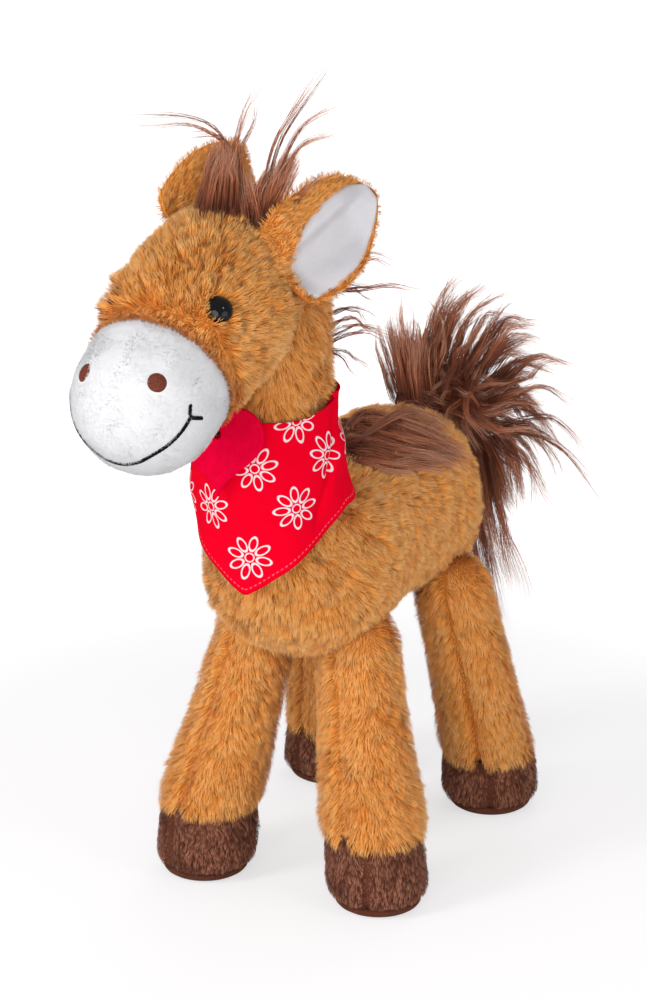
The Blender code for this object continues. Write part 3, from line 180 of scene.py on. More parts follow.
class Form:
    """A skin of triangles with soft normals, which can be searched and scattered over."""

    def __init__(self, points: Array, faces: Array) -> None:
        """Works out areas and normals.

        Args:
            points: Places, one per row.
            faces: Three point numbers per row.
        """
        self.points = np.asarray(points, float)
        self.faces = np.asarray(faces, int)
        corners = self.points[self.faces]
        cross = np.cross(corners[:, 1] - corners[:, 0], corners[:, 2] - corners[:, 0])
        self.areas = np.linalg.norm(cross, axis=1) / 2
        normals = np.zeros_like(self.points)
        for k in range(3):
            np.add.at(normals, self.faces[:, k], cross)
        self.normals = unit(normals)
        self.tree = BVHTree.FromPolygons(self.points.tolist(), self.faces.tolist())

    @classmethod
    def of(cls, thing: Thing) -> "Form":
        """The skin of a mesh object, with its modifiers applied."""
        bpy.context.view_layer.update()
        evaluated = thing.evaluated_get(bpy.context.evaluated_depsgraph_get())
        work = bmesh.new()
        work.from_mesh(evaluated.to_mesh())
        evaluated.to_mesh_clear()
        work.transform(thing.matrix_world)
        bmesh.ops.triangulate(work, faces=work.faces)
        points = np.array([v.co[:] for v in work.verts])
        faces = np.array([[v.index for v in f.verts] for f in work.faces])
        work.free()
        return cls(points, faces)

    def scatter(self, density: float, rng: np.random.Generator) -> tuple[Array, Array]:
        """Places spread evenly over the skin.

        Args:
            density: Places per square metre.
            rng: Source of chance.

        Returns:
            The places and the normals there.
        """
        counts = np.floor(self.areas * density + rng.random(len(self.areas))).astype(int)
        chosen = self.faces[np.repeat(np.arange(len(counts)), counts)]
        root, split = np.sqrt(rng.random(len(chosen))), rng.random(len(chosen))
        shares = np.stack((1 - root, root * (1 - split), root * split), axis=1)[:, :, None]
        places = (self.points[chosen] * shares).sum(axis=1)
        return places, unit((self.normals[chosen] * shares).sum(axis=1))

    def height(self, places: Array, margin: float) -> Array:
        """How far places lie over the skin, negative inside it.

        Args:
            places: Places, one per row.
            margin: Places further off than this from the skin's box aren't searched.

        Returns:
            One height per place, the margin itself where it isn't searched.
        """
        low, high = self.points.min(axis=0) - margin, self.points.max(axis=0) + margin
        near = np.flatnonzero(((places > low) & (places < high)).all(axis=1))
        found = np.full(len(places), margin)
        for k in near:
            place = Vector(places[k])
            hit, normal, _, _ = self.tree.find_nearest(place)
            gap = place - hit
            found[k] = math.copysign(gap.length, gap.dot(normal))
        return found

    def seat(self, place: Array, direction: Array) -> tuple[Array, Array]:
        """Where a ray meets the skin, and the normal there, turned against the ray.

        Args:
            place: Start of the ray.
            direction: Its heading.

        Returns:
            The place and the normal, or where the ray misses, those nearest to its aim.
        """
        hit, normal, _, _ = self.tree.ray_cast(Vector(place), Vector(direction))
        if hit is None:
            missed = Vector(place) + Vector(direction) * CAMERA_DISTANCE
            hit, normal, _, _ = self.tree.find_nearest(missed)
            if normal.dot(missed - hit) < 0:
                normal = -normal
        elif normal.dot(Vector(direction)) > 0:
            normal = -normal
        return np.array(hit), np.array(normal)


def linked(name: str, data: bpy.types.ID) -> Thing:
    """A new object with its data, in the scene."""
    thing = bpy.data.objects.new(name, data)
    bpy.context.scene.collection.objects.link(thing)
    return thing


def mesh_object(name: str, points: Iterable, faces: Iterable, outward: bool = True) -> Thing:
    """A smooth shaded mesh object.

    Args:
        name: Its name.
        points: Places of its vertices.
        faces: Vertex numbers of each face.
        outward: Whether its faces are turned outwards.

    Returns:
        The object, linked to the scene.
    """
    mesh = bpy.data.meshes.new(name)
    mesh.from_pydata([tuple(p) for p in points], [], [tuple(int(k) for k in f) for f in faces])
    if outward:
        work = bmesh.new()
        work.from_mesh(mesh)
        bmesh.ops.recalc_face_normals(work, faces=work.faces)
        work.to_mesh(mesh)
        work.free()
    mesh.shade_smooth()
    return linked(name, mesh)


def ring_faces(rows: int, count: int, closed: bool = True) -> list[tuple[int, ...]]:
    """Quads between rows of points.

    Args:
        rows: Number of rows.
        count: Points in each row.
        closed: Whether each row closes on itself.

    Returns:
        The quads, as point numbers.
    """
    faces = []
    for i in range(rows - 1):
        for k in range(count if closed else count - 1):
            n = (k + 1) % count
            faces.append((i * count + k, i * count + n, (i + 1) * count + n, (i + 1) * count + k))
    return faces


def loft(name: str, rings: Sequence[Array], first: Array | None = None, last: Array | None = None) -> Thing:
    """A skin over rings, closed by a tip at each end where one is given.

    Args:
        name: Its name.
        rings: Rings of equal count.
        first: The tip before the first ring.
        last: The tip after the last ring.

    Returns:
        The object.
    """
    count = len(rings[0])
    points = [p for ring in rings for p in ring]
    faces = ring_faces(len(rings), count)
    for tip, start in ((first, 0), (last, (len(rings) - 1) * count)):
        if tip is None:
            continue
        points.append(tip)
        for k in range(count):
            faces.append((start + k, start + (k + 1) % count, len(points) - 1))
    return mesh_object(name, points, faces)


def melt(name: str, things: Sequence[Thing], voxel: float, passes: int) -> Thing:
    """One even skin round several closed ones, softened where they meet.

    Args:
        name: Name of the new skin.
        things: Closed skins, used up.
        voxel: Size of its faces.
        passes: How often it is smoothed.

    Returns:
        The object.
    """
    work = bmesh.new()
    for thing in things:
        work.from_mesh(thing.data)
        bpy.data.objects.remove(thing, do_unlink=True)
    mesh = bpy.data.meshes.new(name)
    work.to_mesh(mesh)
    work.free()
    whole = linked(name, mesh)
    net = whole.modifiers.new("net", "REMESH")
    net.mode = "VOXEL"
    net.voxel_size = voxel
    ease = whole.modifiers.new("ease", "SMOOTH")
    ease.factor = 0.5
    ease.iterations = passes
    bpy.context.view_layer.update()
    evaluated = whole.evaluated_get(bpy.context.evaluated_depsgraph_get())
    whole.data = bpy.data.meshes.new_from_object(evaluated)
    whole.data.name = name
    whole.modifiers.clear()
    whole.data.shade_smooth()
    return whole


class Value:
    """A socket of a finish, with the sums that the finishes use."""

    def __init__(self, recipe: "Recipe", socket: Socket) -> None:
        """Keeps the socket and the recipe that it belongs to."""
        self.recipe = recipe
        self.socket = socket

    def math(self, operation: str, *others: "Value | float") -> "Value":
        """One Math node with this value first."""
        return self.recipe.node("ShaderNodeMath", {"operation": operation}, dict(enumerate((self, *others))))

    def flipped(self, operation: str, other: float) -> "Value":
        """One Math node with this value second."""
        return self.recipe.node("ShaderNodeMath", {"operation": operation}, {0: other, 1: self})

    def __add__(self, other: "Value | float") -> "Value":
        """Sum."""
        return self.math("ADD", other)

    __radd__ = __add__

    def __sub__(self, other: "Value | float") -> "Value":
        """Difference."""
        return self.math("SUBTRACT", other)

    def __rsub__(self, other: float) -> "Value":
        """Difference from a number."""
        return self.flipped("SUBTRACT", other)

    def __mul__(self, other: "Value | float") -> "Value":
        """Product."""
        return self.math("MULTIPLY", other)

    __rmul__ = __mul__

    def __truediv__(self, other: "Value | float") -> "Value":
        """Quotient."""
        return self.math("DIVIDE", other)

    def __pow__(self, other: float) -> "Value":
        """Power."""
        return self.math("POWER", other)

    def ramp(self, low: float, high: float) -> "Value":
        """Eased from 0 at low to 1 at high."""
        settings = {"interpolation_type": "SMOOTHSTEP"}
        return self.recipe.node("ShaderNodeMapRange", settings, {0: self, 1: low, 2: high})


class Recipe:
    """The node tree of one finish."""

    def __init__(self, name: str) -> None:
        """Starts a material with a shader and its output."""
        self.material = bpy.data.materials.new(name)
        self.material.use_nodes = True
        self.tree = self.material.node_tree
        self.shader = self.tree.nodes["Principled BSDF"]
        self.output = self.tree.nodes["Material Output"]

    def put(self, target: Socket, value: object) -> None:
        """Links a value to a socket, or sets it there.

        Args:
            target: The socket.
            value: A Value, a number or a tuple.
        """
        if isinstance(value, Value):
            self.tree.links.new(value.socket, target)
            return
        if isinstance(value, tuple) and len(value) == 3 and target.type == "RGBA":
            value = (*value, 1.0)
        target.default_value = value

    def node(self, kind: str, settings: dict | None = None, sockets: dict | None = None) -> Value:
        """A node of any type.

        Args:
            kind: The node's type.
            settings: Its properties, set first.
            sockets: Values or links by socket name or number.

        Returns:
            Its first output that is in use.
        """
        made = self.tree.nodes.new(kind)
        for key, value in (settings or {}).items():
            setattr(made, key, value)
        for key, value in (sockets or {}).items():
            self.put(made.inputs[key], value)
        return Value(self, next(s for s in made.outputs if s.enabled))

    def output_of(self, value: Value, name: str) -> Value:
        """Another output of the node that a value comes from."""
        return Value(self, value.socket.node.outputs[name])

    def place(self) -> Value:
        """Position on the piece, in metres, as it was made."""
        return self.output_of(self.node("ShaderNodeTexCoord"), "Object")

    def chart(self, name: str) -> tuple[Value, Value]:
        """The two coordinates of a named map."""
        split = self.node("ShaderNodeSeparateXYZ", None, {0: self.node("ShaderNodeUVMap", {"uv_map": name})})
        return self.output_of(split, "X"), self.output_of(split, "Y")

    def speckle(self, size: float, detail: float = 2.0) -> Value:
        """Noise over the piece, about 0 to 1, with grains of a size in metres."""
        sockets = {"Vector": self.place(), "Scale": 1.0 / size, "Detail": detail}
        return self.node("ShaderNodeTexNoise", None, sockets)

    def blend(self, share: Value | float, first: object, second: object) -> Value:
        """A colour between two others."""
        mixed = self.node("ShaderNodeMix", {"data_type": "RGBA"})
        inputs = mixed.socket.node.inputs
        self.put(inputs[0], share)
        self.put(inputs[6], first)
        self.put(inputs[7], second)
        return Value(self, mixed.socket.node.outputs[2])

    def relief(self, height: Value, depth: float) -> Value:
        """A normal bent by a height map whose full range is a depth in metres."""
        return self.node("ShaderNodeBump", None, {"Height": height, "Distance": depth, "Strength": 1.0})

    def dress(self, **values: object) -> Dye:
        """Sets the shader's sockets, with underscores for the spaces in their names.

        Args:
            **values: Numbers, colours or Values by socket name.

        Returns:
            The finished material.
        """
        for key, value in values.items():
            self.put(self.shader.inputs[key.replace("_", " ")], value)
        return self.material


Colour = tuple[float, float, float]


@dataclass(frozen=True)
class StrandFinish:
    """Loose fibres, coloured from root to tip by their map and from strand to strand by their shade."""

    name: str
    root: Colour
    body: Colour
    tip: Colour
    dark: Colour
    roughness: float
    sheen: float
    specular: float = 0.25

    def material(self) -> Dye:
        """The finish as a material."""
        recipe = Recipe(self.name)
        shade, way = recipe.chart(SHADE_MAP)
        # The darker root colour is partly the fibres' own tone and partly painted shade deep in the pile,
        # between tufts and inside locks.
        colour = recipe.blend(way.ramp(0.0, 0.55), self.root, self.body)
        colour = recipe.blend((way + (shade - 0.55) * 0.40).ramp(0.40, 1.0), colour, self.tip)
        colour = recipe.blend((0.62 - shade).ramp(0.0, 0.62), colour, self.dark)
        return recipe.dress(
            Base_Color=colour,
            Roughness=self.roughness,
            Specular_IOR_Level=self.specular,
            Sheen_Weight=self.sheen,
            Sheen_Roughness=0.6,
        )


@dataclass(frozen=True)
class FleeceFinish:
    """Short brushed pile, plain in colour, with fine grain and soft lay marks."""

    name: str
    light: Colour
    dark: Colour
    grain: float
    depth: float
    sheen: float
    patch: float = 9.0 * MM

    def material(self) -> Dye:
        """The finish as a material."""
        recipe = Recipe(self.name)
        grains = recipe.speckle(self.grain, 3.0)
        lay = recipe.speckle(self.patch, 2.0)
        tone = (grains * 0.55 + lay * 0.45).ramp(0.25, 0.75)
        return recipe.dress(
            Base_Color=recipe.blend(tone, self.dark, self.light),
            Roughness=0.92,
            Specular_IOR_Level=0.15,
            Sheen_Weight=self.sheen,
            Sheen_Roughness=0.5,
            Normal=recipe.relief(grains * 0.7 + lay * 0.3, self.depth),
        )


@dataclass(frozen=True)
class ThreadFinish:
    """Stitched thread."""

    name: str
    light: Colour
    dark: Colour
    roughness: float = 0.55

    def material(self) -> Dye:
        """The finish as a material."""
        recipe = Recipe(self.name)
        twist = recipe.speckle(0.35 * MM, 2.0)
        return recipe.dress(
            Base_Color=recipe.blend(twist.ramp(0.3, 0.7), self.dark, self.light),
            Roughness=self.roughness,
            Specular_IOR_Level=0.12,
            Normal=recipe.relief(twist, 0.12 * MM),
        )


@dataclass(frozen=True)
class BeadFinish:
    """Polished moulded plastic."""

    name: str
    colour: Colour
    roughness: float
    specular: float

    def material(self) -> Dye:
        """The finish as a material."""
        recipe = Recipe(self.name)
        haze = recipe.speckle(1.5 * MM, 1.0) * 0.03 + self.roughness
        return recipe.dress(Base_Color=self.colour, Roughness=haze, Specular_IOR_Level=self.specular)


@dataclass(frozen=True)
class FeltFinish:
    """Pressed felt with short crossing fibres."""

    name: str
    light: Colour
    dark: Colour

    def material(self) -> Dye:
        """The finish as a material."""
        recipe = Recipe(self.name)
        fibres = recipe.speckle(0.45 * MM, 4.0)
        cloud = recipe.speckle(4.0 * MM, 2.0)
        return recipe.dress(
            Base_Color=recipe.blend((fibres * 0.6 + cloud * 0.4).ramp(0.3, 0.7), self.dark, self.light),
            Roughness=0.95,
            Specular_IOR_Level=0.02,
            Normal=recipe.relief(fibres, 0.2 * MM),
        )


@dataclass(frozen=True)
class PrintFinish:
    """Printed cotton: outlined daisies, a fine weave and a dotted hem seam, from the cloth's own maps."""

    name: str
    ground: Colour
    worn: Colour
    ink: Colour
    thread: Colour
    petals: int = 8
    petal_middle: float = 5.9 * MM
    petal_long: float = 2.95 * MM
    petal_short: float = 1.55 * MM
    line: float = 0.25 * MM
    heart_ring: float = 1.75 * MM
    weave: float = 0.42 * MM
    stitch: float = 1.9 * MM
    stitch_inset: float = 2.4 * MM

    def material(self) -> Dye:
        """The finish as a material."""
        recipe = Recipe(self.name)
        x, y = recipe.chart(DAISY_MAP)
        far = (x * x + y * y) ** 0.5
        turn = math.tau / self.petals
        angle = y.math("ARCTAN2", x)
        folded = angle - (angle / turn).math("ROUND") * turn
        along = far * folded.math("COSINE") - self.petal_middle
        beside = far * folded.math("SINE")
        oval = ((along / self.petal_long) ** 2 + (beside / self.petal_short) ** 2) ** 0.5
        petal = ((oval - 1.0).math("ABSOLUTE") * self.petal_short).ramp(self.line * 1.35, self.line * 0.75)
        ring = (far - self.heart_ring).math("ABSOLUTE").ramp(self.line * 1.35, self.line * 0.75)
        print_mask = petal.math("MAXIMUM", ring)

        u, v = recipe.chart(CLOTH_MAP)
        warp = (u * (math.tau / self.weave)).math("SINE")
        weft = (v * (math.tau / self.weave)).math("SINE")
        weave = (warp * weft) * 0.5 + 0.5
        run, hem = recipe.chart(HEM_MAP)
        dash = (run / self.stitch).math("FRACT").ramp(0.52, 0.46)
        dash = dash * (hem - self.stitch_inset).math("ABSOLUTE").ramp(0.34 * MM, 0.20 * MM)
        cloud = recipe.speckle(12 * MM, 3.0)
        ground = recipe.blend((cloud * 0.6 + weave * 0.4).ramp(0.2, 0.8), self.worn, self.ground)
        colour = recipe.blend(print_mask * (0.90 + weave * 0.1), ground, self.ink)
        colour = recipe.blend(dash * 0.85, colour, self.thread)
        height = weave * 0.35 - dash * 0.9
        return recipe.dress(
            Base_Color=colour,
            Roughness=0.95,
            Specular_IOR_Level=0.02,
            Normal=recipe.relief(height, 0.10 * MM),
        )


RED_COTTON = PrintFinish(
    "red_cotton", (0.87, 0.0006, 0.020), (0.77, 0.0004, 0.016), (0.86, 0.74, 0.78), (0.90, 0.14, 0.19)
)
# The darker root colours below are partly the fibres' own tone and partly painted shade deep in the pile.
CARAMEL_PILE = StrandFinish(
    "caramel_pile", (0.860, 0.265, 0.032), (0.990, 0.420, 0.085), (0.990, 0.570, 0.215),
    (0.930, 0.330, 0.055), 0.85, 0.10, 0.08,
)
LONG_HAIR = StrandFinish(
    "long_hair", (0.120, 0.032, 0.015), (0.430, 0.130, 0.058), (0.720, 0.360, 0.225),
    (0.120, 0.032, 0.016), 0.50, 0.0, 0.20,
)
CARAMEL_BACKING = FleeceFinish(
    "caramel_backing", (0.62, 0.21, 0.036), (0.44, 0.135, 0.020), 0.8 * MM, 0.3 * MM, 0.0
)
HAIR_BACKING = FleeceFinish(
    "hair_backing", (0.13, 0.036, 0.018), (0.06, 0.016, 0.008), 0.8 * MM, 0.3 * MM, 0.0
)
WHITE_FLEECE = FleeceFinish(
    "white_fleece", (0.84, 0.84, 0.855), (0.78, 0.78, 0.80), 0.45 * MM, 0.08 * MM, 0.05
)
# The ear lining is the muzzle's white fleece dyed greyer: painted shade for the cup of the ear.
SHADED_EAR_FLEECE = FleeceFinish(
    "ear_fleece", (0.69, 0.675, 0.705), (0.60, 0.585, 0.615), 0.5 * MM, 0.12 * MM, 0.05
)
WHITE_FUZZ = StrandFinish(
    "white_fuzz", (0.78, 0.78, 0.80), (0.82, 0.82, 0.835), (0.86, 0.86, 0.875), (0.78, 0.78, 0.80),
    0.9, 0.05, 0.05
)
HOOF_FUZZ = StrandFinish(
    "hoof_fuzz", (0.100, 0.030, 0.015), (0.300, 0.100, 0.052), (0.520, 0.225, 0.140), (0.120, 0.036, 0.019),
    0.80, 0.05, 0.12,
)
HOOF_FLEECE = FleeceFinish(
    "hoof_fleece", (0.150, 0.045, 0.022), (0.080, 0.022, 0.011), 0.75 * MM, 0.3 * MM, 0.05
)
BLACK_THREAD = ThreadFinish("black_thread", (0.006, 0.006, 0.007), (0.002, 0.002, 0.003), 0.85)
BROWN_THREAD = ThreadFinish("brown_thread", (0.230, 0.060, 0.032), (0.080, 0.018, 0.011))
BLACK_BEAD = BeadFinish("black_bead", (0.003, 0.003, 0.004), 0.05, 0.30)
CLEAR_PLASTIC = BeadFinish("washer_plastic", (0.62, 0.62, 0.60), 0.3, 0.5)
RED_FELT = FeltFinish("red_felt", (0.84, 0.0008, 0.042), (0.66, 0.0005, 0.030))


def ribbons(
    name: str, lines: Array, sides: Array, widths: Array, normals: Array, tones: Array, finish: Dye
) -> Thing:
    """Flat tapering fibres as one mesh, with their shade map and soft normals.

    Args:
        name: Its name.
        lines: Places along each fibre, by fibre, stop and axis.
        sides: Direction across each fibre at each stop.
        widths: Width of each fibre at each stop.
        normals: The normal that light meets at each stop.
        tones: Shade of each fibre, 0 to 1.
        finish: Its material.

    Returns:
        The object.
    """
    count, stops = lines.shape[:2]
    offset = sides[:, :-1] * widths[:, :-1, None] / 2
    pairs = np.stack((lines[:, :-1] - offset, lines[:, :-1] + offset), axis=2)
    points = np.concatenate((pairs.reshape(count, -1, 3), lines[:, -1:]), axis=1)
    each = points.shape[1]
    pattern = []
    for a in range(0, each - 3, 2):
        pattern += [(a, a + 1, a + 3), (a, a + 3, a + 2)]
    pattern.append((each - 3, each - 2, each - 1))
    faces = (np.array(pattern)[None] + (np.arange(count) * each)[:, None, None]).reshape(-1, 3)
    doubled = np.append(np.repeat(np.arange(stops - 1), 2), stops - 1)
    way = doubled / (stops - 1)
    chart = np.stack(np.broadcast_arrays(tones[:, None], way[None]), axis=2).reshape(-1, 2)

    mesh = bpy.data.meshes.new(name)
    mesh.vertices.add(points.size // 3)
    mesh.vertices.foreach_set("co", points.ravel())
    mesh.loops.add(faces.size)
    mesh.loops.foreach_set("vertex_index", faces.ravel())
    mesh.polygons.add(len(faces))
    mesh.polygons.foreach_set("loop_start", np.arange(0, faces.size, 3))
    mesh.update(calc_edges=True)
    mesh.uv_layers.new(name=SHADE_MAP).data.foreach_set("uv", chart[faces.ravel()].ravel())
    mesh.shade_smooth()
    mesh.normals_split_custom_set_from_vertices(unit(normals[:, doubled]).reshape(-1, 3))
    mesh.materials.append(finish)
    return linked(name, mesh)


@dataclass(frozen=True)
class Pile:
    """The cut and lay of a pile."""

    length: float = 5.5 * MM
    width: float = 0.27 * MM
    density: float = 3.0 * PER_SQ_MM
    lean: float = 0.85
    stray: float = 0.30
    tuft_spacing: float = 3.0 * MM
    tuft_pull: float = 0.42
    tuft_dome: float = 0.40
    sunk: float = 0.8 * MM
    bow: float = 0.14
    mottle: float = 1.0

    def grow(
        self, name: str, roots: Array, normals: Array, lay: Array, shares: Array, finish: Dye, seed: int
    ) -> Thing:
        """Fibres at the given roots, gathered into small tufts.

        Args:
            name: Its name.
            roots: Where the fibres leave the backing.
            normals: The backing's normal at each.
            lay: Direction along the backing in which each is combed, longer for a flatter lay.
            shares: Share of the full length of each.
            finish: Its material.
            seed: Which chance.

        Returns:
            The object.
        """
        rng = np.random.default_rng(seed)
        count = len(roots)
        chance = along_surface(rng.normal(size=(count, 3)) * self.stray, normals)
        heading = unit(normals + lay * self.lean + chance)
        many = max(1, int(count / (self.density * self.tuft_spacing**2)))
        guides = rng.choice(count, min(many, count), replace=False)
        tree = KDTree(len(guides))
        for k, guide in enumerate(guides):
            tree.insert(roots[guide], k)
        tree.balance()
        tuft = np.array([tree.find(root)[1] for root in roots])
        leader = guides[tuft]
        cut = rng.uniform(0.76, 1.10, len(guides))[tuft] * rng.uniform(0.88, 1.06, count)
        lengths = (self.length * shares * cut)[:, None]
        tips = roots + heading * lengths
        pull = self.tuft_pull * rng.uniform(0.4, 1.0, (count, 1))
        away = roots - roots[leader]
        tips = tips * (1 - pull) + (tips[leader] + away * 0.3) * pull
        middles = (roots + tips) / 2 + normals * lengths * self.bow
        lines = np.stack((roots - normals * self.sunk, middles, tips), axis=1)
        along = unit(tips - roots)
        twist = rng.uniform(-0.45, 0.45, (count, 1))
        across = np.cross(along, normals)
        plain = np.linalg.norm(across, axis=1) < 0.1
        across[plain] = np.cross(along[plain], ACROSS)
        across = unit(unit(across) + np.cross(along, unit(across)) * twist)
        widths = np.outer(self.width * rng.uniform(0.7, 1.15, count), (1.0, 0.75, 0.0))
        facing = unit(normals + (away / self.tuft_spacing * 2 + chance) * self.tuft_dome)
        tuft_tone = rng.normal(size=len(guides))[tuft]
        tones = 0.11 * waves(roots, 16 * MM, seed + 1) + 0.12 * tuft_tone + rng.normal(size=count) * 0.13
        tones = 0.55 + tones * self.mottle
        return ribbons(
            name,
            lines,
            np.repeat(across[:, None], 3, axis=1),
            widths,
            np.repeat(facing[:, None], 3, axis=1),
            np.clip(tones, 0.02, 0.98),
            finish,
        )


@dataclass(frozen=True)
class Tress:
    """One lock of long hair: the path down its middle and how its fibres fill it."""

    path: tuple[Sequence[float], ...]
    root_radius: float
    fibres: int
    tip_radius: float = 0.5 * MM
    flyaway: float = 0.10
    wave: float = 0.8 * MM
    flat: float = 1.0

    def spread(self, stops: int, rng: np.random.Generator) -> tuple[Array, Array]:
        """The fibres of the lock.

        Args:
            stops: Places along each fibre.
            rng: Source of chance.

        Returns:
            Places by fibre and stop, and the normals there.
        """
        dense = smooth(self.path, 16)
        gone = np.concatenate(([0.0], np.cumsum(np.linalg.norm(np.diff(dense, axis=0), axis=1))))
        reach = gone[-1]
        steps = 40
        marks = np.linspace(0, reach, steps)
        middle = np.stack([np.interp(marks, gone, dense[:, k]) for k in range(3)], axis=1)
        along = unit(np.gradient(middle, axis=0))
        first = np.zeros_like(along)
        first[0] = unit(np.cross(along[0], ACROSS if abs(along[0][0]) < 0.8 else UP))
        for k in range(1, steps):
            first[k] = unit(first[k - 1] - (first[k - 1] @ along[k]) * along[k])
        second = np.cross(along, first)
        angle = rng.uniform(0, math.tau, self.fibres)
        out = np.sqrt(rng.random(self.fibres))
        a, b = np.cos(angle) * out, np.sin(angle) * out * self.flat
        start = rng.uniform(0, 0.08, self.fibres)
        end = 1 - 0.35 * rng.random(self.fibres) ** 1.5
        way = start[:, None] + (end - start)[:, None] * np.linspace(0, 1, stops)[None]
        index = way * (steps - 1)
        low = np.clip(index.astype(int), 0, steps - 2)
        share = (index - low)[..., None]

        def at(rows: Array) -> Array:
            """Rows read between two steps."""
            return rows[low] * (1 - share) + rows[low + 1] * share

        radius = self.tip_radius + (self.root_radius - self.tip_radius) * (1 - way) ** 0.9
        outward = at(first) * a[:, None, None] + at(second) * b[:, None, None]
        drift = rng.normal(size=(self.fibres, 1, 3)) * self.flyaway * reach
        curl = np.sin(way * rng.uniform(3, 7, (self.fibres, 1)) + rng.uniform(0, 6, (self.fibres, 1)))
        wander = rng.normal(size=(self.fibres, 1, 3)) * self.wave * curl[..., None]
        grown = way[..., None]
        lines = at(middle) + outward * radius[..., None] + drift * grown**2.2 + wander * grown
        return lines, unit(outward + UP * 0.25 + TINY)


def hair(
    name: str, tresses: Sequence[Tress], width: float, finish: Dye, seed: int,
    keep_off: Sequence[tuple[Form, float]] = (), stops: int = 10,
) -> Thing:
    """Long hair as one mesh.

    Args:
        name: Its name.
        tresses: Its locks.
        width: Width of one fibre.
        finish: Its material.
        seed: Which chance.
        keep_off: Forms with the height over each that the fibres keep.
        stops: Places along each fibre.

    Returns:
        The object.
    """
    rng = np.random.default_rng(seed)
    lines, normals, tones = [], [], []
    for tress in tresses:
        line, normal = tress.spread(stops, rng)
        lines.append(line)
        normals.append(normal)
        tones.append(0.5 + rng.normal() * 0.1 + rng.normal(size=len(line)) * 0.2)
    line, normal, tone = np.concatenate(lines), np.concatenate(normals), np.concatenate(tones)
    for form, clear in keep_off:
        flat = line[:, 1:].reshape(-1, 3)
        height = form.height(flat, 12 * MM)
        for k in np.flatnonzero(height < clear):
            hit, out, _, _ = form.tree.find_nearest(Vector(flat[k]))
            flat[k] = np.array(hit) + np.array(out) * clear * (0.7 + 0.6 * (k % 7) / 6)
        line[:, 1:] = flat.reshape(line[:, 1:].shape)
    along = unit(np.gradient(line, axis=1))
    across = unit(np.cross(along, normal) + TINY)
    taper = np.clip(1.25 - np.linspace(0, 1, stops) ** 1.5, 0, 1)
    widths = np.outer(width * rng.uniform(0.6, 1.2, len(line)), taper)
    return ribbons(name, line, across, widths, normal, np.clip(tone, 0.02, 0.98), finish)


def joint_place(name: str) -> Array:
    """Where a joint's axis lies."""
    return np.array(next(j for j in frame["joints"] if j["name"] == name)["pos_m"], float)


def node_middle(name: str) -> Array:
    """The middle of a solid's box."""
    low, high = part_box(name)
    return (np.array(low) + np.array(high)) / 2


def settle(thing: Thing, body: str, slot: str, *nodes: str) -> Thing:
    """Puts a finished piece on its body.

    Args:
        thing: The piece.
        body: The body that it moves with.
        slot: Its material slot in the record; not used.
        *nodes: The solids that it stands for.

    Returns:
        The piece.
    """
    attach(thing, body)
    if nodes:
        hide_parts(*nodes)
    LOG.info("%s: %d faces", thing.name, len(thing.data.polygons))
    return thing


PILE_DEPTH = 4.0 * MM
BODY_PILE = Pile(
    length=6.1 * MM, lean=1.05, tuft_spacing=3.2 * MM, tuft_pull=0.52, tuft_dome=0.5, mottle=0.9
)
LEG_PILE = Pile(length=5.5 * MM, lean=1.2, tuft_spacing=2.8 * MM, tuft_pull=0.36, tuft_dome=0.4, mottle=0.8)
HEAD_PILE = Pile(
    length=5.4 * MM, lean=0.72, stray=0.32, tuft_spacing=2.9 * MM, tuft_pull=0.48, tuft_dome=0.5, mottle=0.9
)
EAR_PILE = Pile(length=4.1 * MM, lean=0.75, density=3.4 * PER_SQ_MM, width=0.25 * MM, tuft_spacing=2.4 * MM)
FUZZ = Pile(
    length=1.3 * MM, width=0.14 * MM, density=5.5 * PER_SQ_MM, lean=1.2, stray=0.25, tuft_spacing=1.6 * MM,
    tuft_pull=0.05, tuft_dome=0.05, sunk=0.25 * MM, mottle=0.2,
)
HOOF_PILE = Pile(
    length=3.2 * MM, width=0.26 * MM, density=3.6 * PER_SQ_MM, lean=2.4, stray=0.30, tuft_spacing=1.7 * MM,
    tuft_pull=0.75, tuft_dome=0.9, sunk=0.3 * MM, mottle=1.5,
)
MOST_FIBRES = 60000
REST_NEAR = 8 * MM
REST_FAR = 13 * MM
PRESS_REACH = 14 * MM
PRESS_BELOW = 6 * MM
LayField = Callable[[Array, Array], Array]


class Dyes:
    """Every finish as a material, made once."""

    def __init__(self) -> None:
        """Makes them."""
        self.pile = CARAMEL_PILE.material()
        self.hair = LONG_HAIR.material()
        self.backing = CARAMEL_BACKING.material()
        self.hair_backing = HAIR_BACKING.material()
        self.fleece = WHITE_FLEECE.material()
        self.fleece_fuzz = WHITE_FUZZ.material()
        self.ear_fleece = SHADED_EAR_FLEECE.material()
        self.hoof = HOOF_FLEECE.material()
        self.hoof_fuzz = HOOF_FUZZ.material()
        self.black_thread = BLACK_THREAD.material()
        self.brown_thread = BROWN_THREAD.material()
        self.bead = BLACK_BEAD.material()
        self.plastic = CLEAR_PLASTIC.material()
        self.felt = RED_FELT.material()
        self.cotton = RED_COTTON.material()


@dataclass
class Bench:
    """What the makers share: the finishes, and the backings that neighbours keep clear of."""

    dyes: Dyes = field(default_factory=Dyes)
    forms: dict[str, Form] = field(default_factory=dict)

    def near(self, *names: str, depth: float = 2.0 * MM) -> list[tuple[Form, float]]:
        """The named backings with a depth inside them."""
        return [(self.forms[name], depth) for name in names]


def paint(thing: Thing, finish: Dye) -> Thing:
    """Gives a piece its one finish."""
    thing.data.materials.clear()
    thing.data.materials.append(finish)
    return thing


def sink(thing: Thing, depth: float, rests: Sequence[Array] = ()) -> Thing:
    """Draws a skin in along its normals, to leave room for its pile, and half as far near its rests."""
    for vertex, normal in zip(thing.data.vertices, [n.vector.copy() for n in thing.data.vertex_normals]):
        gaps = [np.linalg.norm(np.array(vertex.co) - rest) for rest in rests]
        near = 1 - float(rise(REST_NEAR, REST_FAR, np.array(min(gaps, default=1.0))))
        vertex.co -= normal * depth * (1 - 0.5 * near)
    thing.data.update()
    return thing


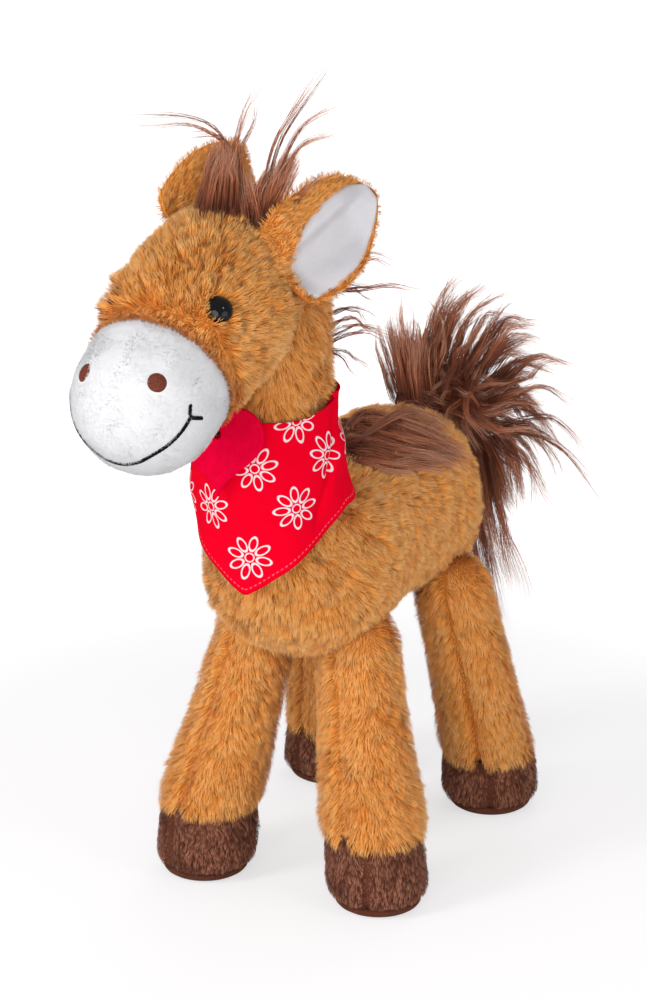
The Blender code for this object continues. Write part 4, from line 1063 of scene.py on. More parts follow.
def coat(
    name: str, body: str, slot: str, form: Form, pile: Pile, lay: LayField, finish: Dye, seed: int,
    keep_out: Sequence[tuple[Form, float]] = (), trim: LayField | None = None,
) -> None:
    """Pile over a form, left out where a neighbour hides it, settled on its body.

    Args:
        name: Its name, to which a number is added where it comes in several meshes.
        body: The body that it moves with.
        slot: Its material slot in the record.
        form: What it grows on.
        pile: Its cut.
        lay: Which way it is combed at places with their normals.
        finish: Its material.
        seed: Which chance.
        keep_out: Neighbours, with the depth inside each from which none grows.
        trim: Share of the full length at places with their normals, none where it is zero.
    """
    rng = np.random.default_rng(seed)
    roots, normals = form.scatter(pile.density, rng)
    shares = np.ones(len(roots)) if trim is None else trim(roots, normals).ravel()
    kept = shares > 0.02
    for neighbour, depth in keep_out:
        kept &= neighbour.height(roots, 10 * MM) > -depth
    roots, normals, shares = roots[kept], normals[kept], shares[kept]
    many = 1 + len(roots) // MOST_FIBRES
    order = np.argsort(roots[:, 0]) if many > 1 else np.arange(len(roots))
    made = []
    for k, part in enumerate(np.array_split(order, many)):
        label = name if many == 1 else f"{name}_{k + 1}"
        places, ups = roots[part], normals[part]
        made.append(pile.grow(label, places, ups, lay(places, ups), shares[part], finish, seed + 1 + k))
    for thing in made:
        settle(thing, body, slot)


def pressed(cover: Form, places: Array, normals: Array, share: float) -> Array:
    """A share of the full length where a cover lies close over the places, one elsewhere."""
    shares = np.ones(len(places))
    low = cover.points.min(axis=0)[2] - PRESS_BELOW
    for k in np.flatnonzero(places[:, 2] > low):
        if cover.tree.ray_cast(Vector(places[k]), Vector(normals[k]), PRESS_REACH)[0] is not None:
            shares[k] = share
    return shares


def rise(low: float, high: float, value: Array) -> Array:
    """Eased from 0 at low to 1 at high, which may be the smaller."""
    share = np.clip((value - low) / (high - low), 0, 1)
    return share * share * (3 - 2 * share)


def level_ring(centre: Sequence[float], radius: float, sides: int) -> Array:
    """A horizontal circle of points."""
    return superellipse(np.array(centre), ACROSS, BACKWARD, (radius, radius), sides)


def square_pair(direction: Array) -> tuple[Array, Array]:
    """Two unit directions square to a given one and to each other."""
    helper = UP if abs(direction[2]) < 0.9 else ACROSS
    first = unit(np.cross(direction, helper))
    return first, np.cross(direction, first)


def revolve(
    name: str, place: Array, direction: Array, profile: Sequence[tuple[float, float]], sides: int
) -> Thing:
    """A closed turned skin: the profile gives the way along the direction and the radius.

    Args:
        name: Its name.
        place: Where the way is zero.
        direction: Unit direction of its axis.
        profile: Ways and radii, the first and the last on the axis.
        sides: Points in each ring.

    Returns:
        The object.
    """
    first, second = square_pair(direction)
    rings = [superellipse(place + direction * w, first, second, (r, r), sides) for w, r in profile[1:-1]]
    return loft(name, rings, place + direction * profile[0][0], place + direction * profile[-1][0])


def arc(radius: float, start: float, end: float, steps: int) -> list[tuple[float, float]]:
    """Height and radius along an arc of a circle, from one angle above its equator to another."""
    angles = [math.radians(start + (end - start) * k / steps) for k in range(steps + 1)]
    return [(radius * math.sin(a), radius * math.cos(a)) for a in angles]


@dataclass
class Torso:
    """The body's barrel and the rise that carries the neck."""

    length: float = 167 * MM
    girth: float = 83 * MM
    squareness: float = 2.25
    chest_overhang: float = 13 * MM
    middle_above_hip: float = 36.5 * MM
    root_rise: float = 53.5 * MM
    root_radius: float = 30.2 * MM
    root_lean: float = 21 * MM
    station_shares: tuple = (
        (0.009, 0.26, 0.27, 0.00), (0.045, 0.56, 0.58, 0.00), (0.107, 0.80, 0.82, 0.00),
        (0.185, 0.95, 0.965, 0.00), (0.260, 1.00, 1.00, 0.00), (0.400, 0.97, 0.965, 0.00),
        (0.540, 0.93, 0.930, 0.01), (0.680, 0.945, 0.945, 0.01), (0.790, 0.955, 1.00, -0.01),
        (0.870, 0.90, 0.97, -0.02), (0.935, 0.76, 0.86, -0.03), (0.980, 0.47, 0.56, -0.04),
    )
    root_shares: tuple = (
        (-0.40, 0.86, 1.00), (-0.08, 1.12, 0.98), (0.10, 1.16, 0.95), (0.38, 1.08, 0.66),
        (0.62, 1.01, 0.30), (0.81, 1.00, 0.05), (1.00, 1.00, 0.00),
    )

    def __post_init__(self) -> None:
        """Finds the chest and the middle from the joints."""
        self.neck_y = joint_place("neck_turn")[1]
        self.middle_z = joint_place("leg_front_left_swing")[2] + self.middle_above_hip
        self.chest_y = self.neck_y - self.chest_overhang

    def barrel(self) -> Thing:
        """The barrel from chest to rump."""
        rings = []
        for along, width, height, lift in smooth(self.station_shares, 3):
            middle = np.array((0, self.chest_y + self.length * along, self.middle_z + self.girth * lift))
            half = (self.girth / 2 * width, self.girth / 2 * height)
            rings.append(superellipse(middle, ACROSS, UP, half, 48, self.squareness))
        chest = np.array((0, self.chest_y, self.middle_z))
        return loft("barrel", rings, chest, chest + BACKWARD * self.length)

    def root(self) -> Thing:
        """The rise from the chest to the neck."""
        rings = []
        for up, width, lean in smooth(self.root_shares, 3):
            middle = (0, self.neck_y + self.root_lean * lean, self.middle_z + self.root_rise * up)
            rings.append(level_ring(middle, self.root_radius * width, 48))
        return loft("root", rings, rings[0].mean(axis=0), rings[-1].mean(axis=0))

    def build(self, bench: Bench) -> None:
        """Makes the backing.

        Args:
            bench: Finishes and neighbours.
        """
        self.cloth = melt("torso_cloth", [self.barrel(), self.root()], 2.4 * MM, 14)
        sink(self.cloth, PILE_DEPTH)
        bench.forms["torso"] = Form.of(self.cloth)

    def lay(self, places: Array, normals: Array) -> Array:
        """Down and back over the flanks, down over chest and rump, with slow drifts."""
        drift = drifts(places, SEED, (34 * MM, 0.28), (11 * MM, 0.22))
        back = rise(self.chest_y + 8 * MM, self.chest_y + 60 * MM, places[:, 1])[:, None]
        down = np.where(normals[:, 2:] > 0.85, 0.25, 0.85)
        return along_surface(BACKWARD * back * 0.75 - UP * down + drift, normals)

    def dress(self, bench: Bench) -> None:
        """Grows its pile, short where the neckerchief presses on it.

        Args:
            bench: Finishes and neighbours.
        """
        settle(
            paint(self.cloth, bench.dyes.backing), "torso", "caramel_pile", "torso_skin", "torso_stuffing"
        )
        kerchief = bench.forms["neckerchief"]

        def trim(places: Array, normals: Array) -> Array:
            """Shorter under the cloth."""
            return pressed(kerchief, places, normals, 0.42) * (
                0.95 + 0.10 * waves(places, 22 * MM, SEED + 9)
            )

        keep = bench.near(*LEG_NAMES, "neck")
        form, dye = bench.forms["torso"], bench.dyes.pile
        coat("torso_pile", "torso", "caramel_pile", form, BODY_PILE, self.lay, dye, SEED + 10, keep, trim)


LEG_NAMES = ("leg_front_left", "leg_front_right", "leg_rear_left", "leg_rear_right")


@dataclass(frozen=True)
class LegCut:
    """The sizes that a pair of legs shares."""

    radius: float
    cuff_radius: float
    cuff_draw_in: float
    cuff_height: float


FRONT_CUT = LegCut(19.4 * MM, 23.8 * MM, 2.6 * MM, 33.0 * MM)
REAR_CUT = LegCut(19.0 * MM, 22.4 * MM, 1.3 * MM, 24.5 * MM)


@dataclass
class Leg:
    """A leg with its seam down the front, its hoof and its sole."""

    name: str
    side: Side
    cut: LegCut
    seam_turn: float
    hoof_turn: float
    seed: int
    shift: tuple[float, float] = (0.0, 0.0)
    hoof_radius: float = 20.3 * MM
    seam_depth: float = 2.4 * MM
    seam_width: float = 2.6 * MM
    front_seam_half: float = 2.3 * MM
    sole_seam_half: float = 1.3 * MM
    sole_seam_lift: float = 1.6 * MM
    sole_height: float = 4.0 * MM
    sole_radius: float = 14.5 * MM
    sides: int = 80
    taper_shares: tuple = ((0.0, 0.0), (0.28, 0.16), (0.55, 0.46), (0.80, 0.86), (0.93, 1.0), (1.0, 0.84))
    bulge_shares: tuple = ((0.0, 0.90), (0.16, 0.985), (0.36, 1.0), (0.64, 0.985), (0.85, 0.95), (1.0, 0.90))

    def __post_init__(self) -> None:
        """Finds hip, hoof and ankle in the frame."""
        self.hip = joint_place(self.name + "_swing") + np.array((*self.shift, 0.0))
        hoof = node_middle(self.name + "_sole")
        self.hoof_middle = np.array((hoof[0], hoof[1], 0.0))
        inward = np.array((-self.side.value * self.cut.cuff_draw_in, 0, self.cut.cuff_height))
        self.ankle = self.hoof_middle + inward
        self.front, self.hoof_front = (self.heading(turn) for turn in (self.seam_turn, self.hoof_turn))
        self.beside = np.cross(UP, self.front)

    def heading(self, turn: float) -> Array:
        """A level direction, turned outwards from the front by an angle in degrees."""
        return np.array((self.side.value * math.sin(math.radians(turn)), -math.cos(math.radians(turn)), 0.0))

    def centre(self, height: float) -> Array:
        """A point of the centre line, bent at the cuff."""
        if height > self.cut.cuff_height:
            share = (self.hip[2] - height) / (self.hip[2] - self.cut.cuff_height)
            return self.hip + (self.ankle - self.hip) * share
        return self.hoof_middle + (self.ankle - self.hoof_middle) * height / self.cut.cuff_height

    def seamed_ring(self, height: float, radius: float, front: Array, cut: tuple[float, float]) -> Array:
        """A ring of the leg with a dip at its seam.

        Args:
            height: Height of the ring.
            radius: Its radius.
            front: Which way the seam faces.
            cut: Depth and half width of the dip.

        Returns:
            Its points.
        """
        ring = level_ring(self.centre(height), radius, self.sides)
        spoke = ring - self.centre(height)
        off = spoke @ np.cross(UP, front)
        dip = np.exp(-((off / cut[1]) ** 2)) * (spoke @ front > 0) * cut[0]
        return ring - unit(spoke) * dip[:, None]

    def build(self, bench: Bench) -> None:
        """Makes the backing, the hoof and the sole.

        Args:
            bench: Finishes and neighbours.
        """
        radius = self.cut.radius - PILE_DEPTH
        rings = [level_ring(self.hip + UP * h, r, self.sides) for h, r in arc(radius, 82, 6, 8)]
        drop = self.hip[2] - self.cut.cuff_height
        for way, widening in smooth(self.taper_shares, 5):
            reach = radius + (self.cut.cuff_radius - self.cut.radius) * widening
            fade = self.seam_depth * float(rise(0.12, 0.4, np.array(way)))
            rings.append(
                self.seamed_ring(self.hip[2] - drop * way, reach, self.front, (fade, self.seam_width))
            )
        edge = self.cut.cuff_height
        last = rings[-1]
        for lift, share in ((-1.2 * MM, 0.97), (-1.0 * MM, 0.80), (1.0 * MM, 0.55)):
            rings.append(self.centre(edge) + (last - self.centre(edge)) * share + UP * lift)
        self.cloth = loft(self.name + "_cloth", rings, self.hip + UP * radius, self.centre(edge + 2 * MM))
        bench.forms[self.name] = Form.of(self.cloth)

        low, high = self.sole_height, edge + 1.5 * MM
        seam = (self.seam_depth, self.seam_width * 0.55)
        rings = [self.seamed_ring(low + 0.6 * MM, self.hoof_radius * 0.80, self.hoof_front, seam)]
        for way, share in smooth(self.bulge_shares, 4):
            height = low + (high - low) * way
            tuck = 1.0 - 0.05 * math.exp(-way / 0.035)
            rings.append(self.seamed_ring(height, self.hoof_radius * share * tuck, self.hoof_front, seam))
        top = self.centre(high)
        rings.append(top + (rings[-1] - top) * 0.7 + UP * 1.5 * MM)
        self.hoof = loft(self.name + "_hoof_cloth", rings, self.centre(low + 1.0 * MM), top + UP * 1.5 * MM)
        bench.forms[self.name + "_hoof"] = Form.of(self.hoof)

        rim = self.hoof_radius * self.bulge_shares[0][1]
        stops = (
            (0.0, self.sole_radius), (0.35 * MM, self.sole_radius + 1.1 * MM), (1.3 * MM, rim - 1.2 * MM),
            (2.4 * MM, rim - 0.35 * MM), (3.3 * MM, rim - 0.25 * MM), (self.sole_height, rim - 1.2 * MM),
        )
        rings = [level_ring(self.centre(h), r, self.sides) for h, r in stops]
        inside = self.centre(self.sole_height)
        self.sole = loft(self.name + "_sole_patch", rings, self.centre(0.0), inside)

    def seam_gap(self, places: Array) -> Array:
        """Signed way round from the seam, far off on the back of the leg."""
        middles = np.array([self.centre(z) for z in places[:, 2]])
        spoke = places - middles
        return np.where(spoke @ self.front > 0, spoke @ self.beside, 1.0)

    def lay(self, places: Array, normals: Array) -> Array:
        """Down the leg, away from the seam beside it."""
        gap = self.seam_gap(places)
        part = np.exp(-((gap / (self.seam_width * 1.3)) ** 2)) * np.sign(gap)
        drift = drifts(places, self.seed, (30 * MM, 0.20), (10 * MM, 0.16))
        return along_surface(-UP + drift + np.outer(part * 0.9, self.beside), normals)

    def trim(self, places: Array, normals: Array) -> Array:
        """Shorter in the seam, and over the hip."""
        near = np.exp(-((self.seam_gap(places) / (self.seam_width * 0.5)) ** 2))
        hip = rise(self.hip[2], self.hip[2] + 14 * MM, places[:, 2])
        below = rise(self.hip[2] - 5 * MM, self.hip[2] - 20 * MM, places[:, 2])
        return (1.0 - 0.85 * near * below) * (1 - 0.5 * hip)

    def dress(self, bench: Bench) -> None:
        """Grows the pile and the hoof's fuzz.

        Args:
            bench: Finishes and neighbours.
        """
        settle(
            paint(self.cloth, bench.dyes.backing), self.name, "caramel_pile", self.name + "_skin",
            self.name + "_stuffing",
        )
        keep = bench.near("torso", depth=3.0 * MM)
        form, dye, label = bench.forms[self.name], bench.dyes.pile, self.name + "_pile"
        coat(label, self.name, "caramel_pile", form, LEG_PILE, self.lay, dye, self.seed, keep, self.trim)

        for thing, node in ((self.hoof, "_hoof"), (self.sole, "_sole")):
            settle(paint(thing, bench.dyes.hoof), self.name, "hoof_short_pile", self.name + node)

        def down(places: Array, normals: Array) -> Array:
            """Combed down."""
            return along_surface(-UP + drifts(places, self.seed + 7, (9 * MM, 0.3)), normals)

        def seams(places: Array, normals: Array) -> Array:
            """Short along the front seam and the seam of the sole."""
            spoke = places - self.hoof_middle
            off = np.where(spoke @ self.hoof_front > 0, spoke @ np.cross(UP, self.hoof_front), 1.0)
            low = places[:, 2] - self.sole_height - self.sole_seam_lift
            at_front, at_sole = (
                np.exp(-((gap / half) ** 4))
                for gap, half in ((off, self.front_seam_half), (low, self.sole_seam_half))
            )
            return (1 - 0.95 * at_front) * (1 - 0.95 * at_sole)

        form, dye, label = bench.forms[self.name + "_hoof"], bench.dyes.hoof_fuzz, self.name + "_fuzz"
        coat(label, self.name, "hoof_short_pile", form, HOOF_PILE, down, dye, self.seed + 5, (), seams)


@dataclass
class Neck:
    """The upright neck, domed under the head."""

    radius: float = 27.5 * MM
    sink: float = 13.0 * MM

    def build(self, bench: Bench) -> None:
        """Makes the backing.

        Args:
            bench: Finishes and neighbours.
        """
        foot, nod = joint_place("neck_turn"), joint_place("head_nod")
        reach = self.radius - PILE_DEPTH
        rise_up = nod[2] - foot[2]
        profile = [(-self.sink, 0.0), (-self.sink, reach * 0.9)]
        profile += [(rise_up * k / 6, reach) for k in range(6)]
        profile += [(rise_up + h, r) for h, r in arc(reach, 0, 84, 10)] + [(rise_up + reach, 0.0)]
        self.cloth = revolve("neck_cloth", foot, UP, profile, 48)
        bench.forms["neck"] = Form.of(self.cloth)

    def dress(self, bench: Bench) -> None:
        """Grows the pile.

        Args:
            bench: Finishes and neighbours.
        """
        settle(paint(self.cloth, bench.dyes.backing), "neck", "caramel_pile", "neck_skin", "neck_stuffing")
        low = joint_place("neck_turn")[2] + 8 * MM
        kerchief = bench.forms["neckerchief"]

        def lay(places: Array, normals: Array) -> Array:
            """Down the neck with slow drifts."""
            drift = drifts(places, SEED + 30, (26 * MM, 0.25), (10 * MM, 0.20))
            return along_surface(-UP + drift, normals)

        def trim(places: Array, normals: Array) -> Array:
            """Pressed by the neckerchief, full above it."""
            return (places[:, 2] > low) * pressed(kerchief, places, normals, 0.3)

        keep = bench.near("head", depth=6.0 * MM)
        form, dye = bench.forms["neck"], bench.dyes.pile
        coat("neck_pile", "neck", "caramel_pile", form, BODY_PILE, lay, dye, SEED + 33, keep, trim)


@dataclass
class Head:
    """The head with its white muzzle, eyes, nostrils and smile."""

    radius: float = 35.5 * MM
    back_length: float = 38.0 * MM
    front_length: float = 43.2 * MM
    seam_cover: float = 1.6 * MM
    forward: float = 47.0 * MM
    lift: float = 15.0 * MM
    slope: float = math.radians(28.7)
    muzzle_radius: float = 27.9 * MM
    muzzle_lift: float = 0.8 * MM
    collar: float = 13.8 * MM
    eye_radius: float = 5.3 * MM
    eye_height: float = 3.3 * MM
    eye_recess: float = 3.0 * MM
    far_recess: float = 1.6 * MM
    temple_depth: float = 2.2 * MM
    temple_spread: float = math.radians(30.0)
    temple_shares: tuple[float, float, float] = (0.785, -0.173, 0.594)
    nostril_radius: float = 3.8 * MM
    stitch_radius: float = 0.75 * MM
    back_shares: tuple = ((0.985, 0.17), (0.90, 0.436), (0.72, 0.694), (0.45, 0.893), (0.0, 1.0))
    front_shares: tuple = ((0.36, 0.985), (0.70, 0.915), (1.0, 0.815))
    smile_shares: tuple = (
        (0.0, -0.27, 0.96), (0.25, -0.22, 0.94), (0.47, -0.11, 0.875), (0.70, 0.0, 0.71),
        (0.83, 0.10, 0.55), (0.90, 0.20, 0.385),
    )
    tick_shares: tuple = ((0.89, 0.345, 0.30), (0.90, 0.20, 0.385), (0.965, 0.05, 0.24))

    def __post_init__(self) -> None:
        """Lays out the head's own directions from the nod."""
        c, s = math.cos(self.slope), math.sin(self.slope)
        self.out = np.array((0.0, -c, -s))
        self.up = np.array((0.0, -s, c))
        self.middle = joint_place("head_nod") - BACKWARD * self.forward + UP * self.lift
        before = self.middle + self.out * (self.front_length + self.collar)
        self.muzzle_middle = before + self.up * self.muzzle_lift

    def build(self, bench: Bench) -> None:
        """Makes the backing, the muzzle and the face.

        Args:
            bench: Finishes and neighbours.
        """
        profile = [(-self.back_length * a, self.radius * r) for a, r in self.back_shares]
        profile += [(self.front_length * a, self.radius * r) for a, r in self.front_shares]
        stops = [(-self.back_length, 0.0)] + [tuple(row) for row in smooth(profile, 4)]
        stops.append((self.front_length, 0.0))
        self.cloth = revolve("head_cloth", self.middle, self.out, stops, 64)
        sink(self.cloth, PILE_DEPTH, [self.eye_seat(side)[0] for side in Side])
        temples = np.array([np.array(self.temple_shares) * (side.value, 1, 1) for side in Side])
        for vertex in self.cloth.data.vertices:
            spoke = unit(np.array(vertex.co) - self.middle)
            turn = float(np.arccos(np.clip(temples @ spoke, -1, 1)).min())
            vertex.co -= Vector(spoke) * self.temple_depth * math.exp(-((turn / self.temple_spread) ** 2))
        bench.forms["head"] = Form.of(self.cloth)

        seam = self.radius * self.front_shares[-1][1]
        centre = self.front_length + self.collar
        reach = self.muzzle_radius
        ball = [(centre + h, r) for h, r in arc(reach, 0, 86, 12)]
        edge = self.front_length
        rim = [
            (edge - 3.0 * MM, seam - 5 * MM), (edge - 0.6 * MM, seam - 2.4 * MM),
            (edge + 1.4 * MM, seam - 1.0 * MM),
        ]
        rim.append((edge + 5.5 * MM, (seam + reach) / 2 - 0.1 * MM))
        stops = [(edge - 3.0 * MM, 0.0)] + rim + ball + [(centre + reach, 0.0)]
        self.muzzle = revolve("muzzle_cloth", self.middle + self.up * self.muzzle_lift, self.out, stops, 72)
        bench.forms["muzzle"] = Form.of(self.muzzle)
        self.eyes = [self.eye(side) for side in Side]
        self.nostrils = [self.nostril(side) for side in Side]
        self.smile = self.mouth()

    def eye_seat(self, side: Side) -> tuple[Array, Array]:
        """Middle of an eye and the direction out of it."""
        word = side.name.lower()
        eye, washer = node_middle("eye_" + word), node_middle("eye_washer_" + word)
        out = unit(eye - washer)
        reach = max(float((np.array(v.co) - eye) @ out) for v in frame["nodes"]["eye_" + word].data.vertices)
        recess = self.eye_recess + (self.far_recess if side is Side.RIGHT else 0.0)
        return eye + out * (reach - self.eye_height - recess), out

    def eye(self, side: Side) -> Thing:
        """A polished domed bead with its rim."""
        seat, out = self.eye_seat(side)
        dome = [
            (self.eye_height * math.sin(a), self.eye_radius * math.cos(a)) for a in np.linspace(0, 1.48, 14)
        ]
        stops = [(-3.4 * MM, 0.0), (-3.4 * MM, 2.0 * MM), (-2.6 * MM, self.eye_radius * 0.92)]
        stops += [(-1.4 * MM, self.eye_radius)] + dome + [(self.eye_height, 0.0)]
        return revolve("eye_bead_" + side.name.lower(), seat, out, stops, 48)

    def nostril(self, side: Side) -> Thing:
        """A padded round of satin stitch, with a ridge for each thread."""
        centre = node_middle("nostril_" + side.name.lower())
        out = unit(centre - self.muzzle_middle)
        first, second = square_pair(out)
        points, faces = [], []
        count = 64
        for i, share in enumerate(np.linspace(0.05, 1.0, 12)):
            for k in range(count):
                angle = math.tau * k / count
                x, y = share * math.cos(angle), share * math.sin(angle)
                ridge = 0.26 * MM * abs(math.sin(y * 12))
                fall = (1 - share**2.6) * 0.9 * MM
                radius = self.muzzle_radius + fall + ridge * (1 - share**8) - 0.15 * MM
                spread = out * self.muzzle_radius + (first * x + second * y) * self.nostril_radius
                points.append(self.muzzle_middle + unit(spread) * radius)
        faces = ring_faces(12, count)
        points.append(self.muzzle_middle + out * (self.muzzle_radius + 0.9 * MM))
        points.append(self.muzzle_middle + out * (self.muzzle_radius - 0.6 * MM))
        for k in range(count):
            faces.append((k, (k + 1) % count, len(points) - 2))
            faces.append((11 * count + k, 11 * count + (k + 1) % count, len(points) - 1))
        return mesh_object("nostril_stitch_" + side.name.lower(), points, faces)

    def on_muzzle(self, rows: Sequence[Sequence[float]], steps: int, height: float) -> Array:
        """A curve over the muzzle through places given by sideways, up and forward shares."""
        dense = smooth(rows, steps)
        heading = unit(
            np.outer(dense[:, 0], ACROSS) + np.outer(dense[:, 1], self.up) + np.outer(dense[:, 2], self.out)
        )
        return self.muzzle_middle + heading * (self.muzzle_radius + height)

    def mouth(self) -> Thing:
        """The smile and its ticks, as a row of overlapping stitches."""
        left = list(self.smile_shares)
        right = [(-x, z, y) for x, z, y in left[:0:-1]]
        runs = [self.on_muzzle(right + left, 12, 0.15 * MM)]
        for side in Side:
            tick = [(x * side.value, z, y) for x, z, y in self.tick_shares]
            runs.append(self.on_muzzle(tick, 12, 0.25 * MM))
        points: list[Array] = []
        faces: list[tuple[int, ...]] = []
        for run in runs:
            gone = np.concatenate(([0.0], np.cumsum(np.linalg.norm(np.diff(run, axis=0), axis=1))))
            for start in np.arange(0.0, gone[-1] - 1.2 * MM, 1.5 * MM):
                marks = np.linspace(start, min(start + 2.6 * MM, gone[-1]), 7)
                line = np.stack([np.interp(marks, gone, run[:, k]) for k in range(3)], axis=1)
                out = unit(line - self.muzzle_middle)
                along = unit(np.gradient(line, axis=0))
                beside = np.cross(along, out)
                slant = np.linspace(-0.35, 0.35, 7)[:, None] * self.stitch_radius
                line = line + beside * slant
                base = len(points)
                girth = self.stitch_radius * np.sqrt(np.clip(1 - np.linspace(-0.96, 0.96, 7) ** 4, 0.02, 1))
                for k in range(7):
                    ring = superellipse(line[k], beside[k], out[k], (girth[k], girth[k] * 0.8), 8)
                    points.extend(ring)
                faces.extend(tuple(base + n for n in f) for f in ring_faces(7, 8))
                faces.append(tuple(base + k for k in range(8)))
                faces.append(tuple(base + 48 + k for k in range(8)))
        return mesh_object("smile_stitch", points, faces)

    def lay(self, places: Array, normals: Array) -> Array:
        """Back from the muzzle and down the cheeks, nearly upright on the forehead."""
        spoke = places - self.middle
        top = rise(0.2, 0.9, (spoke @ self.up) / self.radius)[:, None]
        drift = drifts(places, SEED + 40, (24 * MM, 0.30), (9 * MM, 0.30))
        edge = rise(self.front_length - 13 * MM, self.front_length - 5 * MM, spoke @ self.out)[:, None]
        flow = -self.out * (0.9 - 2.9 * edge) - self.up * 0.35 + drift
        return along_surface(flow, normals) * (1 - 0.55 * top * (1 - edge))

    def dress(self, bench: Bench) -> None:
        """Grows the pile and dresses the face.

        Args:
            bench: Finishes and neighbours.
        """
        dyes = bench.dyes
        settle(paint(self.cloth, dyes.backing), "head", "caramel_pile", "head_skin", "head_stuffing")
        settle(paint(self.muzzle, dyes.fleece), "head", "white_short_pile", "muzzle_skin")
        seats = [self.eye_seat(side)[0] for side in Side]

        def trim(places: Array, normals: Array) -> Array:
            """None under the muzzle and the eyes, shorter close to them."""
            station = (places - self.middle) @ self.out
            near = rise(self.front_length - 9 * MM, self.front_length - 2 * MM, station)
            shares = np.where(normals @ self.out > 0.93, 0.0, 1.0 + 0.4 * near)
            for side, seat in zip(Side, seats):
                gap = np.linalg.norm(places - seat, axis=1)
                beside = -0.25 if side is Side.RIGHT else 0.15
                shares *= rise(self.eye_radius, self.eye_radius + 4.0 * MM, gap) * beside + 1 - beside
                shares[gap < self.eye_radius - 0.3 * MM] = 0
            return shares

        keep = bench.near("neck", depth=8.0 * MM)
        form = bench.forms["head"]
        coat(
            "head_pile", "head", "caramel_pile", form, HEAD_PILE, self.lay, dyes.pile, SEED + 50, keep, trim
        )

        def still(places: Array, normals: Array) -> Array:
            """Combed down a little."""
            return along_surface(-self.up + drifts(places, SEED + 57, (12 * MM, 0.5)), normals)

        def bare(places: Array, normals: Array) -> Array:
            """None where stitches lie, or inside the seam."""
            shares = np.ones(len(places))
            for side in Side:
                gap = np.linalg.norm(places - node_middle("nostril_" + side.name.lower()), axis=1)
                shares[gap < self.nostril_radius + 0.4 * MM] = 0
            shares[(places - self.middle) @ self.out < self.front_length + self.seam_cover * 0.6] = 0
            return shares

        def over(places: Array, normals: Array) -> Array:
            """Forward over the muzzle's rim."""
            return along_surface(self.out * 1.6 + drifts(places, SEED + 58, (8 * MM, 0.3)), normals)

        def brim(places: Array, normals: Array) -> Array:
            """Only at the seam."""
            station = (places - self.middle) @ self.out - self.front_length
            return np.where((station > -2.0 * MM) & (station < self.seam_cover), 0.7, 0.0)

        form, dye = bench.forms["muzzle"], dyes.fleece_fuzz
        coat("seam_pile", "head", "caramel_pile", form, HEAD_PILE, over, dyes.pile, SEED + 53, (), brim)
        coat("muzzle_fuzz", "head", "white_short_pile", form, FUZZ, still, dye, SEED + 55, (), bare)
        for side, eye, nostril in zip(Side, self.eyes, self.nostrils):
            word = side.name.lower()
            settle(paint(eye, dyes.bead), "head", "black_bead", "eye_" + word)
            settle(paint(nostril, dyes.brown_thread), "head", "brown_thread", "nostril_" + word)
            paint(frame["nodes"]["eye_washer_" + word], dyes.plastic)
        settle(paint(self.smile, dyes.black_thread), "head", "black_thread", "mouth_stitch")


